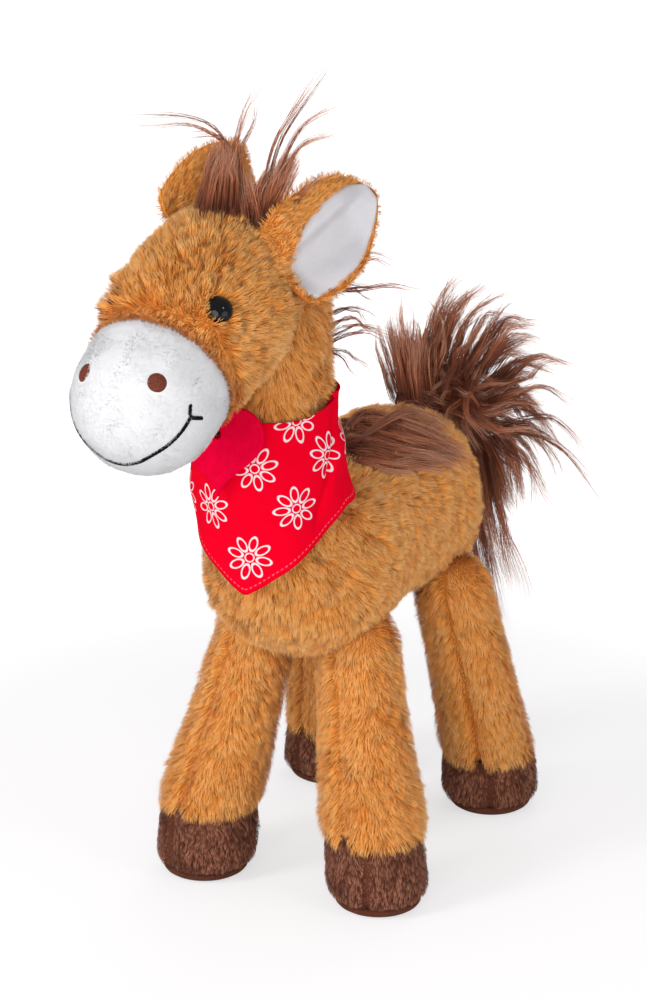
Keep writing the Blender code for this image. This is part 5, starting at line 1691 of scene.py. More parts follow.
@dataclass
class Ear:
    """One ear: a cupped leaf of pile with a white lining beside its fold."""

    side: Side
    reach: tuple[float, float, float]
    facing_shares: tuple[float, float, float]
    length: float
    inner_width: float
    outer_width: float
    cup: float = 3.5 * MM
    thickness: float = 2.4 * MM
    rim: float = 1.0 * MM
    fold: float = 4.4 * MM
    dip: float = 5.2 * MM
    foot: float = -0.16
    outline_shares: tuple = (
        (-0.16, 0.72, 0.86), (0.0, 0.96, 1.0), (0.15, 1.02, 1.03), (0.30, 1.03, 1.0), (0.50, 0.99, 0.89),
        (0.70, 0.88, 0.69), (0.84, 0.70, 0.45), (0.94, 0.42, 0.22), (1.0, 0.10, 0.05),
    )
    lining_shares: tuple = (
        (-0.11, 0.62, 0.80), (-0.08, 0.34, 0.88), (-0.03, 0.10, 0.91), (0.12, -0.14, 0.94),
        (0.30, -0.30, 0.92), (0.55, -0.40, 0.80), (0.75, -0.40, 0.56), (0.87, -0.34, 0.35),
        (0.95, -0.24, 0.16), (0.985, -0.12, 0.0),
    )

    def __post_init__(self) -> None:
        """Lays out the leaf's own directions."""
        self.word = self.side.name.lower()
        self.body = "ear_" + self.word
        self.root = joint_place(self.body + "_fold")
        self.along = unit(np.array(self.reach))
        facing = np.array(self.facing_shares)
        self.facing = unit(facing - self.along * (facing @ self.along))
        self.width = unit(np.cross(self.along, self.facing)) * self.side.value
        self.outline = smooth(self.outline_shares, 6)
        self.patch = smooth(self.lining_shares, 6)

    def edges(self, along: Array, lining: bool = False) -> tuple[Array, Array]:
        """Where the inner and the outer edge lie at shares of the length, of the leaf or of its lining."""
        if lining:
            a, low, high = self.patch.T
            return self.outer_width * np.interp(along, a, low), self.outer_width * np.interp(along, a, high)
        a, low, high = self.outline.T
        return -self.inner_width * np.interp(along, a, low), self.outer_width * np.interp(along, a, high)

    def point(self, along: float, across: float, lift: float) -> Array:
        """A point of the leaf at a share of its length, lifted to the side that it faces."""
        share = across / (self.outer_width if across > 0 else self.inner_width)
        crease = self.outer_width * (0.02 - 0.20 * along)
        window = float(rise(-0.2, 0.05, np.array(along)) * rise(0.95, 0.6, np.array(along)))
        folded = 1 - float(rise(crease - 1.0 * MM, crease + 2.0 * MM, np.array(across)))
        sag = math.sin(math.pi * min(max((across - crease) / (self.outer_width - crease), 0.0), 1.0))
        cupped = self.cup * share**2 * (1 - max(along, 0.0) ** 3)
        lift += cupped + (self.fold * folded - self.dip * sag) * window
        return self.root + self.along * self.length * along + self.width * across + self.facing * lift

    def leaf(self, name: str, stations: Array, columns: int, lining: bool, lifts: Callable) -> Thing:
        """A closed leaf between a lower and an upper face.

        Args:
            name: Its name.
            stations: Shares of the length.
            columns: Points across it.
            lining: Whether it has the lining's edges and not the leaf's.
            lifts: Heights of both faces at a station and a share of the way across.

        Returns:
            The object.
        """
        points = []
        for layer in (0, 1):
            for a in stations:
                low, high = self.edges(a, lining)
                for t in np.linspace(0, 1, columns):
                    points.append(self.point(a, low + (high - low) * t, lifts(a, t)[layer]))
        rows = len(stations)
        count = rows * columns
        lower = ring_faces(rows, columns, closed=False)
        faces = lower + [tuple(count + k for k in f[::-1]) for f in lower]
        rim = list(range(columns)) + [r * columns + columns - 1 for r in range(1, rows)]
        rim += [(rows - 1) * columns + k for k in range(columns - 2, -1, -1)]
        rim += [r * columns for r in range(rows - 2, 0, -1)]
        for a, b in zip(rim, rim[1:] + rim[:1]):
            faces.append((a, b, count + b, count + a))
        return mesh_object(name, points, faces)

    def build(self, bench: Bench) -> None:
        """Makes leaf and lining.

        Args:
            bench: Finishes and neighbours.
        """

        def cloth(along: float, way: float) -> tuple[float, float]:
            """Back and front of the leaf, thinner at its rim."""
            deep = self.rim + (self.thickness - self.rim) * math.sqrt(max(0.0, 1 - (2 * way - 1) ** 2))
            return -0.5 * MM - deep * (1 - 0.3 * max(along, 0)), -0.5 * MM

        self.cloth = self.leaf(self.body + "_cloth", np.linspace(self.foot, 1, 40), 41, False, cloth)
        bench.forms[self.body] = Form.of(self.cloth)
        first, last = self.lining_shares[0][0], self.lining_shares[-1][0]

        def lining(along: float, way: float) -> tuple[float, float]:
            """The lining, plump and tucked in at its edge."""
            edge = min(way, 1 - way) / 0.12
            edge = min(edge, (last - along) / 0.04, (along - first) / 0.04, 1.0)
            top = 0.9 * MM - 1.6 * MM * (1 - max(edge, 0.0)) ** 2
            return top - 0.7 * MM, top

        self.lining = self.leaf(self.body + "_lining_cloth", np.linspace(first, last, 44), 40, True, lining)

    def seat_of(self, places: Array) -> tuple[Array, Array]:
        """Station and way across of places on the leaf."""
        spoke = places - self.root
        return spoke @ self.along / self.length, spoke @ self.width

    def lay(self, places: Array, normals: Array) -> Array:
        """Towards the tip, and outwards at the rims."""
        across = self.seat_of(places)[1] / self.outer_width
        drift = drifts(places, SEED + 70, (15 * MM, 0.3), (8 * MM, 0.2))
        return along_surface(self.along * 0.9 + np.outer(across * 0.5, self.width) + drift, normals)

    def trim(self, places: Array, normals: Array) -> Array:
        """None under the lining, and short on the outer rim."""
        along, across = self.seat_of(places)
        low, high = self.edges(along, lining=True)
        front = normals @ self.facing > 0.12
        first, last = self.lining_shares[0][0], self.lining_shares[-1][0]
        inside = (across > low + 0.7 * MM) & (across < high - 0.7 * MM) & (along > first) & (along < last)
        shares = np.where(front & inside, 0.0, np.where(front, 0.85, 1.0))
        return shares * (1 - 0.35 * (across > high - 2 * MM))

    def dress(self, bench: Bench) -> None:
        """Grows the pile and dresses the lining.

        Args:
            bench: Finishes and neighbours.
        """
        settle(paint(self.cloth, bench.dyes.backing), self.body, "caramel_pile", self.body + "_back")
        # The lining's greyer fleece is painted shade for the cup of the ear.
        settle(
            paint(self.lining, bench.dyes.ear_fleece), self.body, "white_short_pile", self.body + "_lining"
        )
        keep = bench.near("head", depth=3.0 * MM)
        form, dye, seed = bench.forms[self.body], bench.dyes.pile, SEED + 75 + self.side.value
        label = self.body + "_pile"
        coat(label, self.body, "caramel_pile", form, EAR_PILE, self.lay, dye, seed, keep, self.trim)


@dataclass
class View:
    """The photograph's frame and where the camera stands."""

    target: tuple[float, float, float] = (0.0, 2.16 * MM, 162 * MM)
    azimuth: float = math.radians(26.26)
    elevation: float = math.radians(17.87)
    distance: float = CAMERA_DISTANCE
    lens: float = 120.96
    sensor: float = 36.0
    width: int = 647
    height: int = 1000

    def __post_init__(self) -> None:
        """Works out the camera's own directions."""
        a, e = self.azimuth, self.elevation
        self.back = np.array((math.sin(a) * math.cos(e), -math.cos(a) * math.cos(e), math.sin(e)))
        self.right = np.array((math.cos(a), math.sin(a), 0.0))
        self.upward = np.cross(self.back, self.right)
        self.eye = np.array(self.target) + self.back * self.distance

    def ray(self, pixel: tuple[float, float]) -> Array:
        """Direction from the camera through a pixel of the photograph."""
        scale = self.sensor / self.height
        across = (pixel[0] - self.width / 2) * scale
        down = (pixel[1] - self.height / 2) * scale
        return unit(self.right * across - self.upward * down - self.back * self.lens)

    def on_plane(self, pixel: Sequence[float], place: Array, normal: Array) -> Array:
        """Where the ray through a pixel meets a plane.

        Args:
            pixel: Column and row in the photograph.
            place: A point of the plane.
            normal: Its normal.

        Returns:
            The place.
        """
        ray = self.ray(pixel)
        return self.eye + ray * float(((place - self.eye) @ normal) / (ray @ normal))


def bundle(
    path: Sequence[Array], spread: tuple[float, float], locks: int, fibres: int, radius: float,
    rng: np.random.Generator, flyaway: float = 0.03, sway: float = 0.4,
) -> list[Tress]:
    """Several locks that share a way and sway about it.

    Args:
        path: Root, bend and tip of the way.
        spread: How far roots and tips lie apart.
        locks: Number of locks.
        fibres: Fibres in each.
        radius: Radius of each at its root.
        rng: Source of chance.
        flyaway: How far single fibres stray, as a share of the length.
        sway: How much the locks wind, as a share of their spread.

    Returns:
        The locks.
    """
    dense = smooth(path, 2)
    grown = np.linspace(0, 1, len(dense))[:, None]
    made = []
    for _ in range(locks):
        shift = (spread[0] + (spread[1] - spread[0]) * grown) * rng.normal(size=3) * 0.5
        bends = rng.normal(size=(len(dense), 3)) * (0.12 + 0.4 * grown) * spread[1] * sway
        places = tuple(tuple(place) for place in dense + shift + bends)
        made.append(
            Tress(places, radius * rng.uniform(0.7, 1.2), fibres, flyaway=flyaway, wave=sway * 1.2 * MM)
        )
    return made


HAIR_WIDTH = 0.23 * MM


@dataclass
class Forelock:
    """The tuft between the ears, with its wisps."""

    offset: float = 5.0 * MM
    crown_share: float = 0.55
    crown_radius_share: float = 0.82
    root_depth: float = 3.0 * MM
    lobe_counts: tuple[int, int] = (6, 62)
    wisp_counts: tuple[int, int] = (2, 17)
    lobe_pixels: tuple = (
        ((199, 213), (206, 184), (219, 152)), ((207, 215), (213, 180), (223, 145)),
        ((216, 215), (220, 178), (226, 140)), ((225, 215), (227, 178), (229, 142)),
        ((234, 215), (234, 182), (232, 148)), ((243, 215), (241, 188), (236, 158)),
        ((251, 215), (248, 196), (243, 172)), ((258, 215), (262, 192), (276, 168)),
        ((264, 215), (274, 186), (290, 150)), ((270, 216), (284, 186), (300, 152)),
    )
    wisp_pixels: tuple = (
        ((222, 200), (226, 146), (196, 122), (163, 119), (116, 123)),
        ((226, 198), (232, 150), (204, 130), (172, 134)), ((232, 200), (234, 146), (244, 112), (263, 71)),
        ((238, 200), (240, 150), (252, 122), (256, 96)), ((262, 205), (272, 160), (291, 118), (336, 58)),
        ((268, 205), (284, 160), (306, 124), (353, 100)), ((270, 205), (290, 158), (312, 138), (347, 129)),
        ((286, 208), (304, 192), (325, 171)),
    )

    def build(self, bench: Bench) -> None:
        """Lays out its locks over the crown.

        Args:
            bench: Finishes and neighbours.
        """
        head, view = Head(), View()
        station = -head.back_length * self.crown_share
        crown = head.middle + head.out * station + head.up * head.radius * self.crown_radius_share
        crown = crown + ACROSS * self.offset
        rng = np.random.default_rng(SEED + 80)
        self.tresses: list[Tress] = []
        for rows, wide in ((self.lobe_pixels, True), (self.wisp_pixels, False)):
            for row in rows:
                path = np.array([view.on_plane(pixel, crown, view.back) for pixel in row])
                path[0] -= UP * self.root_depth
                if wide:
                    locks, fibres = self.lobe_counts
                    self.tresses += bundle(path, (5.0 * MM, 2.4 * MM), locks, fibres, 3.0 * MM, rng, 0.06)
                else:
                    locks, fibres = self.wisp_counts
                    self.tresses += bundle(path, (1.2 * MM, 2.0 * MM), locks, fibres, 1.2 * MM, rng, 0.015)

    def dress(self, bench: Bench) -> None:
        """Makes the hair and settles it.

        Args:
            bench: Finishes and neighbours.
        """
        keep = [(bench.forms["head"], 2.0 * MM)]
        tuft = hair("forelock_hair", self.tresses, HAIR_WIDTH, bench.dyes.hair, SEED + 81, keep, 12)
        settle(tuft, "head", "long_hair", "forelock")


@dataclass
class Mane:
    """Locks down the nape, on the neck, and their end over the withers, on the torso."""

    width: float = 15.0 * MM
    start: float = math.radians(8.0)
    nape_locks: int = 40
    nape_fibres: int = 40
    withers_locks: int = 6
    withers_fibres: int = 56
    lock_shares: tuple = (
        (0.0, 0.10, 1.10, -0.45), (0.10, 0.25, 1.20, -0.35), (0.28, -0.35, 1.30, 0.10),
        (0.42, 0.45, 1.20, 0.35), (0.58, 0.55, 1.15, 0.55), (0.74, 0.35, 1.05, 0.70),
        (0.88, 0.60, 1.00, 0.75), (1.0, 0.60, 0.90, 0.80),
    )
    nape_pixels: tuple = (
        ((334, 262), (356, 258), (378, 252), (408, 264)), ((330, 291), (352, 288), (388, 284), (431, 288)),
        ((330, 286), (346, 286), (362, 294), (377, 307)), ((326, 316), (346, 308), (362, 312), (374, 332)),
        ((326, 338), (344, 328), (366, 322), (408, 334)), ((326, 344), (346, 334), (372, 330), (400, 341)),
        ((326, 350), (345, 354), (362, 366), (379, 383)), ((326, 330), (342, 318), (356, 320), (370, 334)),
    )
    withers_pixels: tuple = (
        ((330, 401), (352, 397), (392, 396), (438, 405)), ((332, 405), (360, 403), (404, 410), (447, 428)),
        ((334, 412), (362, 412), (408, 424), (453, 446)), ((336, 420), (364, 424), (410, 438), (459, 459)),
        ((337, 430), (366, 436), (412, 448), (461, 462)), ((338, 442), (366, 448), (408, 456), (455, 465)),
        ((339, 452), (364, 459), (396, 464), (440, 466)), ((339, 458), (356, 463), (378, 467), (412, 466)),
    )

    def build(self, bench: Bench) -> None:
        """Lays out both sets of locks.

        Args:
            bench: Finishes and neighbours.
        """
        rng = np.random.default_rng(SEED + 90)
        view, neck, nod = View(), Neck(), joint_place("head_nod")
        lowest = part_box("mane")[0][2]
        reach = neck.radius - 2.5 * MM
        nape = []
        for angle in np.linspace(self.start, math.pi / 2, 9):
            nape.append(nod + BACKWARD * reach * math.sin(angle) + UP * reach * math.cos(angle))
        foot = np.array((0, nod[1] + reach, lowest + 2 * MM))
        nape += [nape[-1] + (foot - nape[-1]) * k / 9 for k in range(1, 10)]
        nape = np.array(nape)
        table = np.array(self.lock_shares)
        self.nape_tresses: list[Tress] = []
        for k in range(self.nape_locks):
            way = (k + rng.random()) / self.nape_locks
            seat = np.array(
                [np.interp(way * (len(nape) - 1), range(len(nape)), nape[:, a]) for a in range(3)]
            )
            side, back, down = (np.interp(way, table[:, 0], table[:, a]) for a in (1, 2, 3))
            side += rng.normal() * 0.45
            tip = seat + np.array((side, back, -down)) * self.width * rng.uniform(0.6, 1.05)
            tip[2] = max(tip[2], lowest + 1 * MM)
            bend = (seat + tip) / 2 + UP * self.width * 0.2 + BACKWARD * 1.5 * MM
            seat = seat + ACROSS * rng.normal() * 3.5 * MM
            spread, fibres = (1.5 * MM, 3.0 * MM), self.nape_fibres
            self.nape_tresses += bundle([seat, bend, tip], spread, 1, fibres, 2.2 * MM, rng, 0.06)
        behind = nod + BACKWARD * neck.radius * 0.9
        for row in self.nape_pixels:
            path = [view.on_plane(pixel, behind, view.back) for pixel in row]
            self.nape_tresses += bundle(path, (1.5 * MM, 3.5 * MM), 2, 12, 1.2 * MM, rng, 0.03)

        form = bench.forms["torso"]
        self.withers_tresses: list[Tress] = []
        for row in self.withers_pixels:
            for _ in range(self.withers_locks):
                slip = rng.normal(size=2)
                path = []
                for k, pixel in enumerate(row):
                    aim = (pixel[0] + slip[0] * k, pixel[1] + slip[1] * (2.5 + k))
                    seat, normal = form.seat(view.eye, view.ray(aim))
                    lift = -3.0 * MM if k == 0 else PILE_DEPTH + rng.uniform(-1.0, 1.5) * MM
                    path.append(seat + normal * lift)
                if path[0][1] > behind[1] - neck.radius * 1.2:
                    places, fibres = tuple(map(tuple, path)), self.withers_fibres
                    self.withers_tresses.append(Tress(places, 2.6 * MM, fibres, flyaway=0.025, flat=0.6))

    def dress(self, bench: Bench) -> None:
        """Makes the hair and settles it.

        Args:
            bench: Finishes and neighbours.
        """
        keep = [(bench.forms["neck"], 3.0 * MM)]
        nape = hair("nape_hair", self.nape_tresses, HAIR_WIDTH, bench.dyes.hair, SEED + 91, keep)
        settle(nape, "neck", "long_hair", "mane")
        keep = [(bench.forms["torso"], 3.5 * MM)]
        withers = hair(
            "withers_hair", self.withers_tresses, HAIR_WIDTH, bench.dyes.hair, SEED + 92, keep, 12
        )
        settle(withers, "torso", "long_hair", "withers_mane")


@dataclass
class Tail:
    """The brush of long hair round a short stuffed core."""

    core_length: float = 40.0 * MM
    core_radius: float = 9.0 * MM
    lean: float = math.radians(32.0)
    heading: tuple[float, float, float] = (0.435, 0.90, 0.0)
    depth: float = 9.0 * MM
    strand_pixels: tuple = (
        ((409, 384), (397, 340), (393, 294), 2), ((437, 362), (450, 310), (496, 276), 3),
        ((446, 362), (464, 319), (487, 285), 3), ((473, 371), (500, 329), (537, 337), 3),
        ((482, 380), (514, 346), (555, 346), 3), ((491, 389), (528, 358), (576, 373), 3),
        ((496, 403), (528, 387), (562, 417), 3), ((500, 412), (537, 410), (569, 453), 3),
        ((500, 421), (546, 433), (578, 487), 2), ((500, 435), (528, 453), (541, 517), 3),
        ((482, 449), (500, 485), (512, 517), 4), ((474, 446), (484, 516), (498, 590), 7),
        ((466, 432), (474, 500), (500, 640), 3), ((466, 420), (470, 470), (484, 540), 5),
        ((462, 410), (470, 440), (478, 500), 6), ((425, 372), (430, 340), (424, 318), 4),
        ((420, 380), (438, 336), (448, 312), 3), ((460, 372), (476, 332), (500, 306), 3),
        ((486, 396), (520, 372), (548, 384), 3), ((492, 424), (524, 424), (548, 452), 4),
        ((490, 440), (512, 462), (528, 500), 3), ((474, 420), (492, 454), (508, 500), 5),
        ((480, 410), (502, 438), (522, 474), 4), ((470, 426), (482, 468), (492, 520), 5),
        ((440, 376), (452, 348), (462, 320), 5), ((462, 384), (486, 356), (506, 334), 5),
        ((476, 394), (506, 378), (534, 368), 4), ((470, 406), (504, 396), (536, 398), 4),
    )
    strand_fibres: int = 30
    column_counts: tuple[int, int] = (7, 50)
    core_locks: int = 160
    gather_x: float = 455.0
    gather: float = 0.92
    column_pixels: tuple = (
        ((406, 398), (397, 362), (391, 326)), ((412, 400), (404, 364), (400, 324)),
        ((418, 400), (412, 366), (409, 328)), ((425, 398), (421, 364), (417, 330)),
    )
    core_pixels: tuple = ((452, 398), (44, 40))

    def build(self, bench: Bench) -> None:
        """Makes the core and lays out the locks.

        Args:
            bench: Finishes and neighbours.
        """
        self.pivot = joint_place("tail_lift")
        out = np.array((0.0, math.sin(self.lean), math.cos(self.lean)))
        shares = (
            (-0.1, 0.0), (-0.1, 0.7), (0.0, 0.8), (0.2, 1.0), (0.6, 0.95), (0.85, 0.7), (0.96, 0.38),
            (1.0, 0.0),
        )
        profile = [(self.core_length * a, self.core_radius * r) for a, r in shares]
        self.core = revolve("tail_core_cloth", self.pivot, out, profile, 24)
        bench.forms["tail"] = Form.of(self.core)
        rng, view = np.random.default_rng(SEED + 100), View()
        plane = np.cross(unit(np.array(self.heading)), UP)
        self.tresses: list[Tress] = []

        def lay(
            pixels: Sequence, locks: int, fibres: int, radius: float, spread: tuple[float, float]
        ) -> None:
            """Locks through pixels, each at its own depth."""
            for _ in range(locks):
                aside = plane * rng.normal() * self.depth
                path = np.array([view.on_plane(pixel, self.pivot, plane) for pixel in pixels])
                path += aside * np.linspace(0.5, 1.0, len(path))[:, None]
                self.tresses.extend(bundle(path, spread, 1, fibres, radius, rng, 0.04))

        for row in self.strand_pixels:
            drawn = [(self.gather_x + (x - self.gather_x) * self.gather, y) for x, y in row[:3]]
            lay(drawn, row[3] * 2, self.strand_fibres, 2.4 * MM, (5.0 * MM, 7.0 * MM))
        for row in self.column_pixels:
            lay(row, *self.column_counts, 3.4 * MM, (3.0 * MM, 3.0 * MM))
        middle, reach = np.array(self.core_pixels)
        for _ in range(self.core_locks):
            angle, far = rng.uniform(0, math.tau), math.sqrt(rng.random())
            way = np.array((math.cos(angle), math.sin(angle)))
            start = middle - way * reach * far * 0.6
            swing = np.array((-way[1], way[0])) * rng.normal() * 9
            end = middle + way * reach * (0.75 + 0.6 * rng.random())
            way_out = (start, (start + end) / 2 + swing, end)
            lay(way_out, 1, self.strand_fibres, 3.0 * MM, (5.0 * MM, 5.0 * MM))

    def dress(self, bench: Bench) -> None:
        """Makes the hair and settles it.

        Args:
            bench: Finishes and neighbours.
        """
        settle(paint(self.core, bench.dyes.hair_backing), "tail", "long_hair", "tail_core")
        brush = hair("tail_brush", self.tresses, HAIR_WIDTH, bench.dyes.hair, SEED + 101, (), 9)
        settle(brush, "tail", "long_hair", "tail_hair")


@dataclass
class Neckerchief:
    """The printed cloth round the neck, hanging over chest and shoulders."""

    below_nod: float = 38.5 * MM
    neck_radius: float = 27.5 * MM
    gap: float = 1.0 * MM
    drops: tuple[float, float, float] = (71.0 * MM, 40.0 * MM, 20.5 * MM)
    fold: float = 1.1 * MM
    draw_in_share: float = 0.19
    turn: float = math.radians(10.0)
    crease_angle: float = math.radians(103.0)
    crease_slant: float = math.radians(38.0)
    crease_spread: float = math.radians(5.0)
    crease_depth: float = 3.0 * MM
    tilt: float = 6.5 * MM
    ripple_start: float = math.radians(35.0)
    ruffle_length: float = 21.0 * MM
    ruffle_depth: float = 0.75 * MM
    roll: float = 0.9 * MM
    roll_share: float = 0.03
    pleat_angle: float = math.radians(100.0)
    pleat_spread: float = math.radians(20.0)
    thickness: float = 0.5 * MM
    coarse: tuple[int, int] = (8, 44)
    fine: tuple[int, int] = (6, 5)
    daisy_gap: float = 21.62 * MM
    daisy_pixels: tuple = (
        (250, 558), (296, 509), (211, 507), (254, 468), (296, 421), (328, 455), (348, 465), (335, 522),
    )

    def drop(self, angle: float) -> float:
        """How far the hem hangs below the neckline at an angle from the front."""
        front, side, nape = self.drops
        turn = abs((angle + math.pi) % math.tau - math.pi)
        if turn < math.pi / 2:
            return front + (side - front) * (turn / (math.pi / 2)) ** 1.15
        share = (turn - math.pi / 2) / (math.pi / 2)
        return side + (nape - side) * share * share * (3 - 2 * share)

    def reaches(self) -> tuple[Array, Array]:
        """How far the cloth hangs from the neck's axis, and how low, by row and angle."""
        tree = Form.of(frame["nodes"]["torso_skin"]).tree
        rows, columns = self.coarse
        angles = np.arange(columns) * math.tau / columns + self.turn
        outs = np.stack((np.sin(angles), -np.cos(angles), np.zeros(columns)), axis=1)
        drops = np.array([self.drop(a - self.turn) for a in angles])
        closest = self.neck_radius + self.gap
        reach = np.full(columns, closest)
        away = np.abs((angles - self.turn + math.pi) % math.tau - math.pi)
        tilt = self.tilt * rise(math.radians(35), math.radians(110), away)
        ways, heights = [], []
        for i in range(rows):
            share = i / (rows - 1)
            for j, out in enumerate(outs):
                step = drops[j] / (rows - 1)
                low = self.top - drops[j] * share
                body = 0.0
                for part in (-1.0, -0.5, 0.0, 0.5, 1.0):
                    far = self.axis + UP * (low + step * part) + out * 6 * self.neck_radius
                    hit = tree.ray_cast(Vector(far), Vector(-out))[0]
                    if hit is not None:
                        body = max(body, (np.array(hit) - self.axis) @ out + self.gap / 2)
                fall = reach[j] - self.draw_in_share * step if i else closest
                reach[j] = max(fall, body, closest)
            beside = (np.roll(reach, 1) + np.roll(reach, -1)) / 2
            ripple = 0.5 + 0.5 * np.sin(3 * angles + self.ripple_start)
            pleat = np.exp(-(((angles - self.pleat_angle) / self.pleat_spread) ** 2))
            ways.append(np.maximum(reach, beside) + self.fold * share * (ripple + pleat))
            heights.append(self.top - drops * share + tilt * (1 - share) ** 2)
        return np.array(ways), np.array(heights)

    def finer(self, table: Array) -> Array:
        """A table read between its rows and round its closed columns."""
        rows = smooth(table, self.fine[0])
        wrapped = np.hstack((rows[:, -2:], rows, rows[:, :3]))
        dense = smooth(wrapped.T, self.fine[1]).T
        start = 2 * self.fine[1]
        return dense[:, start : start + table.shape[1] * self.fine[1]]

    def build(self, bench: Bench) -> None:
        """Hangs the cloth, and draws its maps.

        Args:
            bench: Finishes and neighbours.
        """
        nod = joint_place("head_nod")
        self.axis = np.array((0.0, nod[1], 0.0))
        self.top = nod[2] - self.below_nod
        ways, heights = (self.finer(t) for t in self.reaches())
        rows, columns = ways.shape
        angles = np.arange(columns) * math.tau / columns + self.turn
        outs = np.stack((np.sin(angles), -np.cos(angles), np.zeros(columns)), axis=1)
        grid = self.axis + outs[None] * ways[..., None] + UP * heights[..., None]
        share = np.linspace(0, 1, rows)[:, None]
        ripple = waves(grid.reshape(-1, 3), self.ruffle_length, SEED + 60).reshape(rows, columns)
        grid = grid + outs[None] * (ripple * self.ruffle_depth * share)[..., None]
        lead = self.crease_angle - self.crease_slant * share
        crease = np.exp(-(((angles[None] - lead) / self.crease_spread) ** 2)) * rise(0.95, 0.6, share)
        grid = grid - outs[None] * (crease * self.crease_depth)[..., None]
        rolled = np.exp(-share / self.roll_share) * self.roll
        grid = grid + outs[None] * rolled[..., None]
        below = np.roll(grid, -1, axis=1) - np.roll(grid, 1, axis=1)
        down = np.gradient(grid, axis=0)
        normal = unit(np.cross(down, below))
        inner = grid - normal * self.thickness
        count = rows * columns
        outer_faces = ring_faces(rows, columns)
        faces = outer_faces + [tuple(count + k for k in f[::-1]) for f in outer_faces]
        for j in range(columns):
            n = (j + 1) % columns
            faces.append((j, count + j, count + n, n))
            last = (rows - 1) * columns
            faces.append((last + n, count + last + n, count + last + j, last + j))
        self.cloth = mesh_object(
            "neckerchief", np.vstack((grid.reshape(-1, 3), inner.reshape(-1, 3))), faces
        )
        bench.forms["neckerchief"] = Form.of(self.cloth)
        self.flat = (float(np.linalg.norm(below / 2, axis=2).sum(axis=1).max()), self.drops[0])
        ring = np.linalg.norm(below / 2, axis=2).mean(axis=0)
        round_way = np.concatenate(([0.0], np.cumsum(ring)))
        fall = np.vstack(
            (np.zeros(columns), np.cumsum(np.linalg.norm(np.diff(grid, axis=0), axis=2), axis=0))
        )
        self.area = float((np.linalg.norm(np.cross(down, below / 2), axis=2)).sum())
        self.chart(grid, normal, round_way, fall)

    def daisies(self, grid: Array, normal: Array) -> tuple[Array, Array]:
        """Middles of the daisies on the cloth, and the normals there.

        Args:
            grid: Places of the cloth.
            normal: Normals of the cloth.

        Returns:
            The middles and the normals.
        """
        places, normals = grid.reshape(-1, 3), normal.reshape(-1, 3)
        view, form = View(), Form.of(self.cloth)
        chosen = []
        for pixel in self.daisy_pixels:
            seat = form.seat(view.eye, view.ray(pixel))[0]
            chosen.append(int(np.linalg.norm(places - seat, axis=1).argmin()))
        rows, columns = grid.shape[:2]
        free = (np.arange(rows * columns) // columns > 3) & (normals @ view.back < 0.1)
        while True:
            gaps = np.min([np.linalg.norm(places - places[k], axis=1) for k in chosen], axis=0)
            gaps[~free] = 0
            best = int(gaps.argmax())
            if gaps[best] < self.daisy_gap:
                return places[chosen], normals[chosen]
            ring = np.abs(gaps - self.daisy_gap)
            ring[(gaps < self.daisy_gap) | ~free] = 1.0
            chosen.append(int(ring.argmin()))

    def chart(self, grid: Array, normal: Array, round_way: Array, fall: Array) -> None:
        """Writes the cloth's maps: its threads, its hem and its nearest daisy.

        Args:
            grid: Places of the cloth.
            normal: Normals of the cloth.
            round_way: Way round the cloth at each column.
            fall: Way down the cloth.
        """
        middles, outs = self.daisies(grid, normal)
        rows, columns = fall.shape
        rng = np.random.default_rng(SEED + 61)
        spins = rng.uniform(0, math.tau, len(middles))
        mesh = self.cloth.data
        maps = {name: mesh.uv_layers.new(name=name) for name in (CLOTH_MAP, HEM_MAP, DAISY_MAP)}
        for face in mesh.polygons:
            ids = [v % (rows * columns) for v in face.vertices]
            wraps = max(k % columns for k in ids) - min(k % columns for k in ids) > 1
            centre = np.array(face.center)
            nearest = int(np.linalg.norm(middles - centre, axis=1).argmin())
            across = unit(np.cross(UP, outs[nearest]))
            upward = np.cross(outs[nearest], across)
            c, s = math.cos(spins[nearest]), math.sin(spins[nearest])
            for loop, vertex, k in zip(face.loop_indices, face.vertices, ids):
                i, j = divmod(k, columns)
                way = round_way[columns] if wraps and j == 0 else round_way[j]
                maps[CLOTH_MAP].data[loop].uv = (way, fall[i, j])
                maps[HEM_MAP].data[loop].uv = (way, fall[-1, j] - fall[i, j])
                off = np.array(mesh.vertices[vertex].co) - middles[nearest]
                x, y = off @ across, off @ upward
                maps[DAISY_MAP].data[loop].uv = (x * c - y * s, x * s + y * c)

    def dress(self, bench: Bench) -> None:
        """Prints the cloth and settles it.

        Args:
            bench: Finishes and neighbours.
        """
        settle(paint(self.cloth, bench.dyes.cotton), "torso", "red_cotton", "bandana")


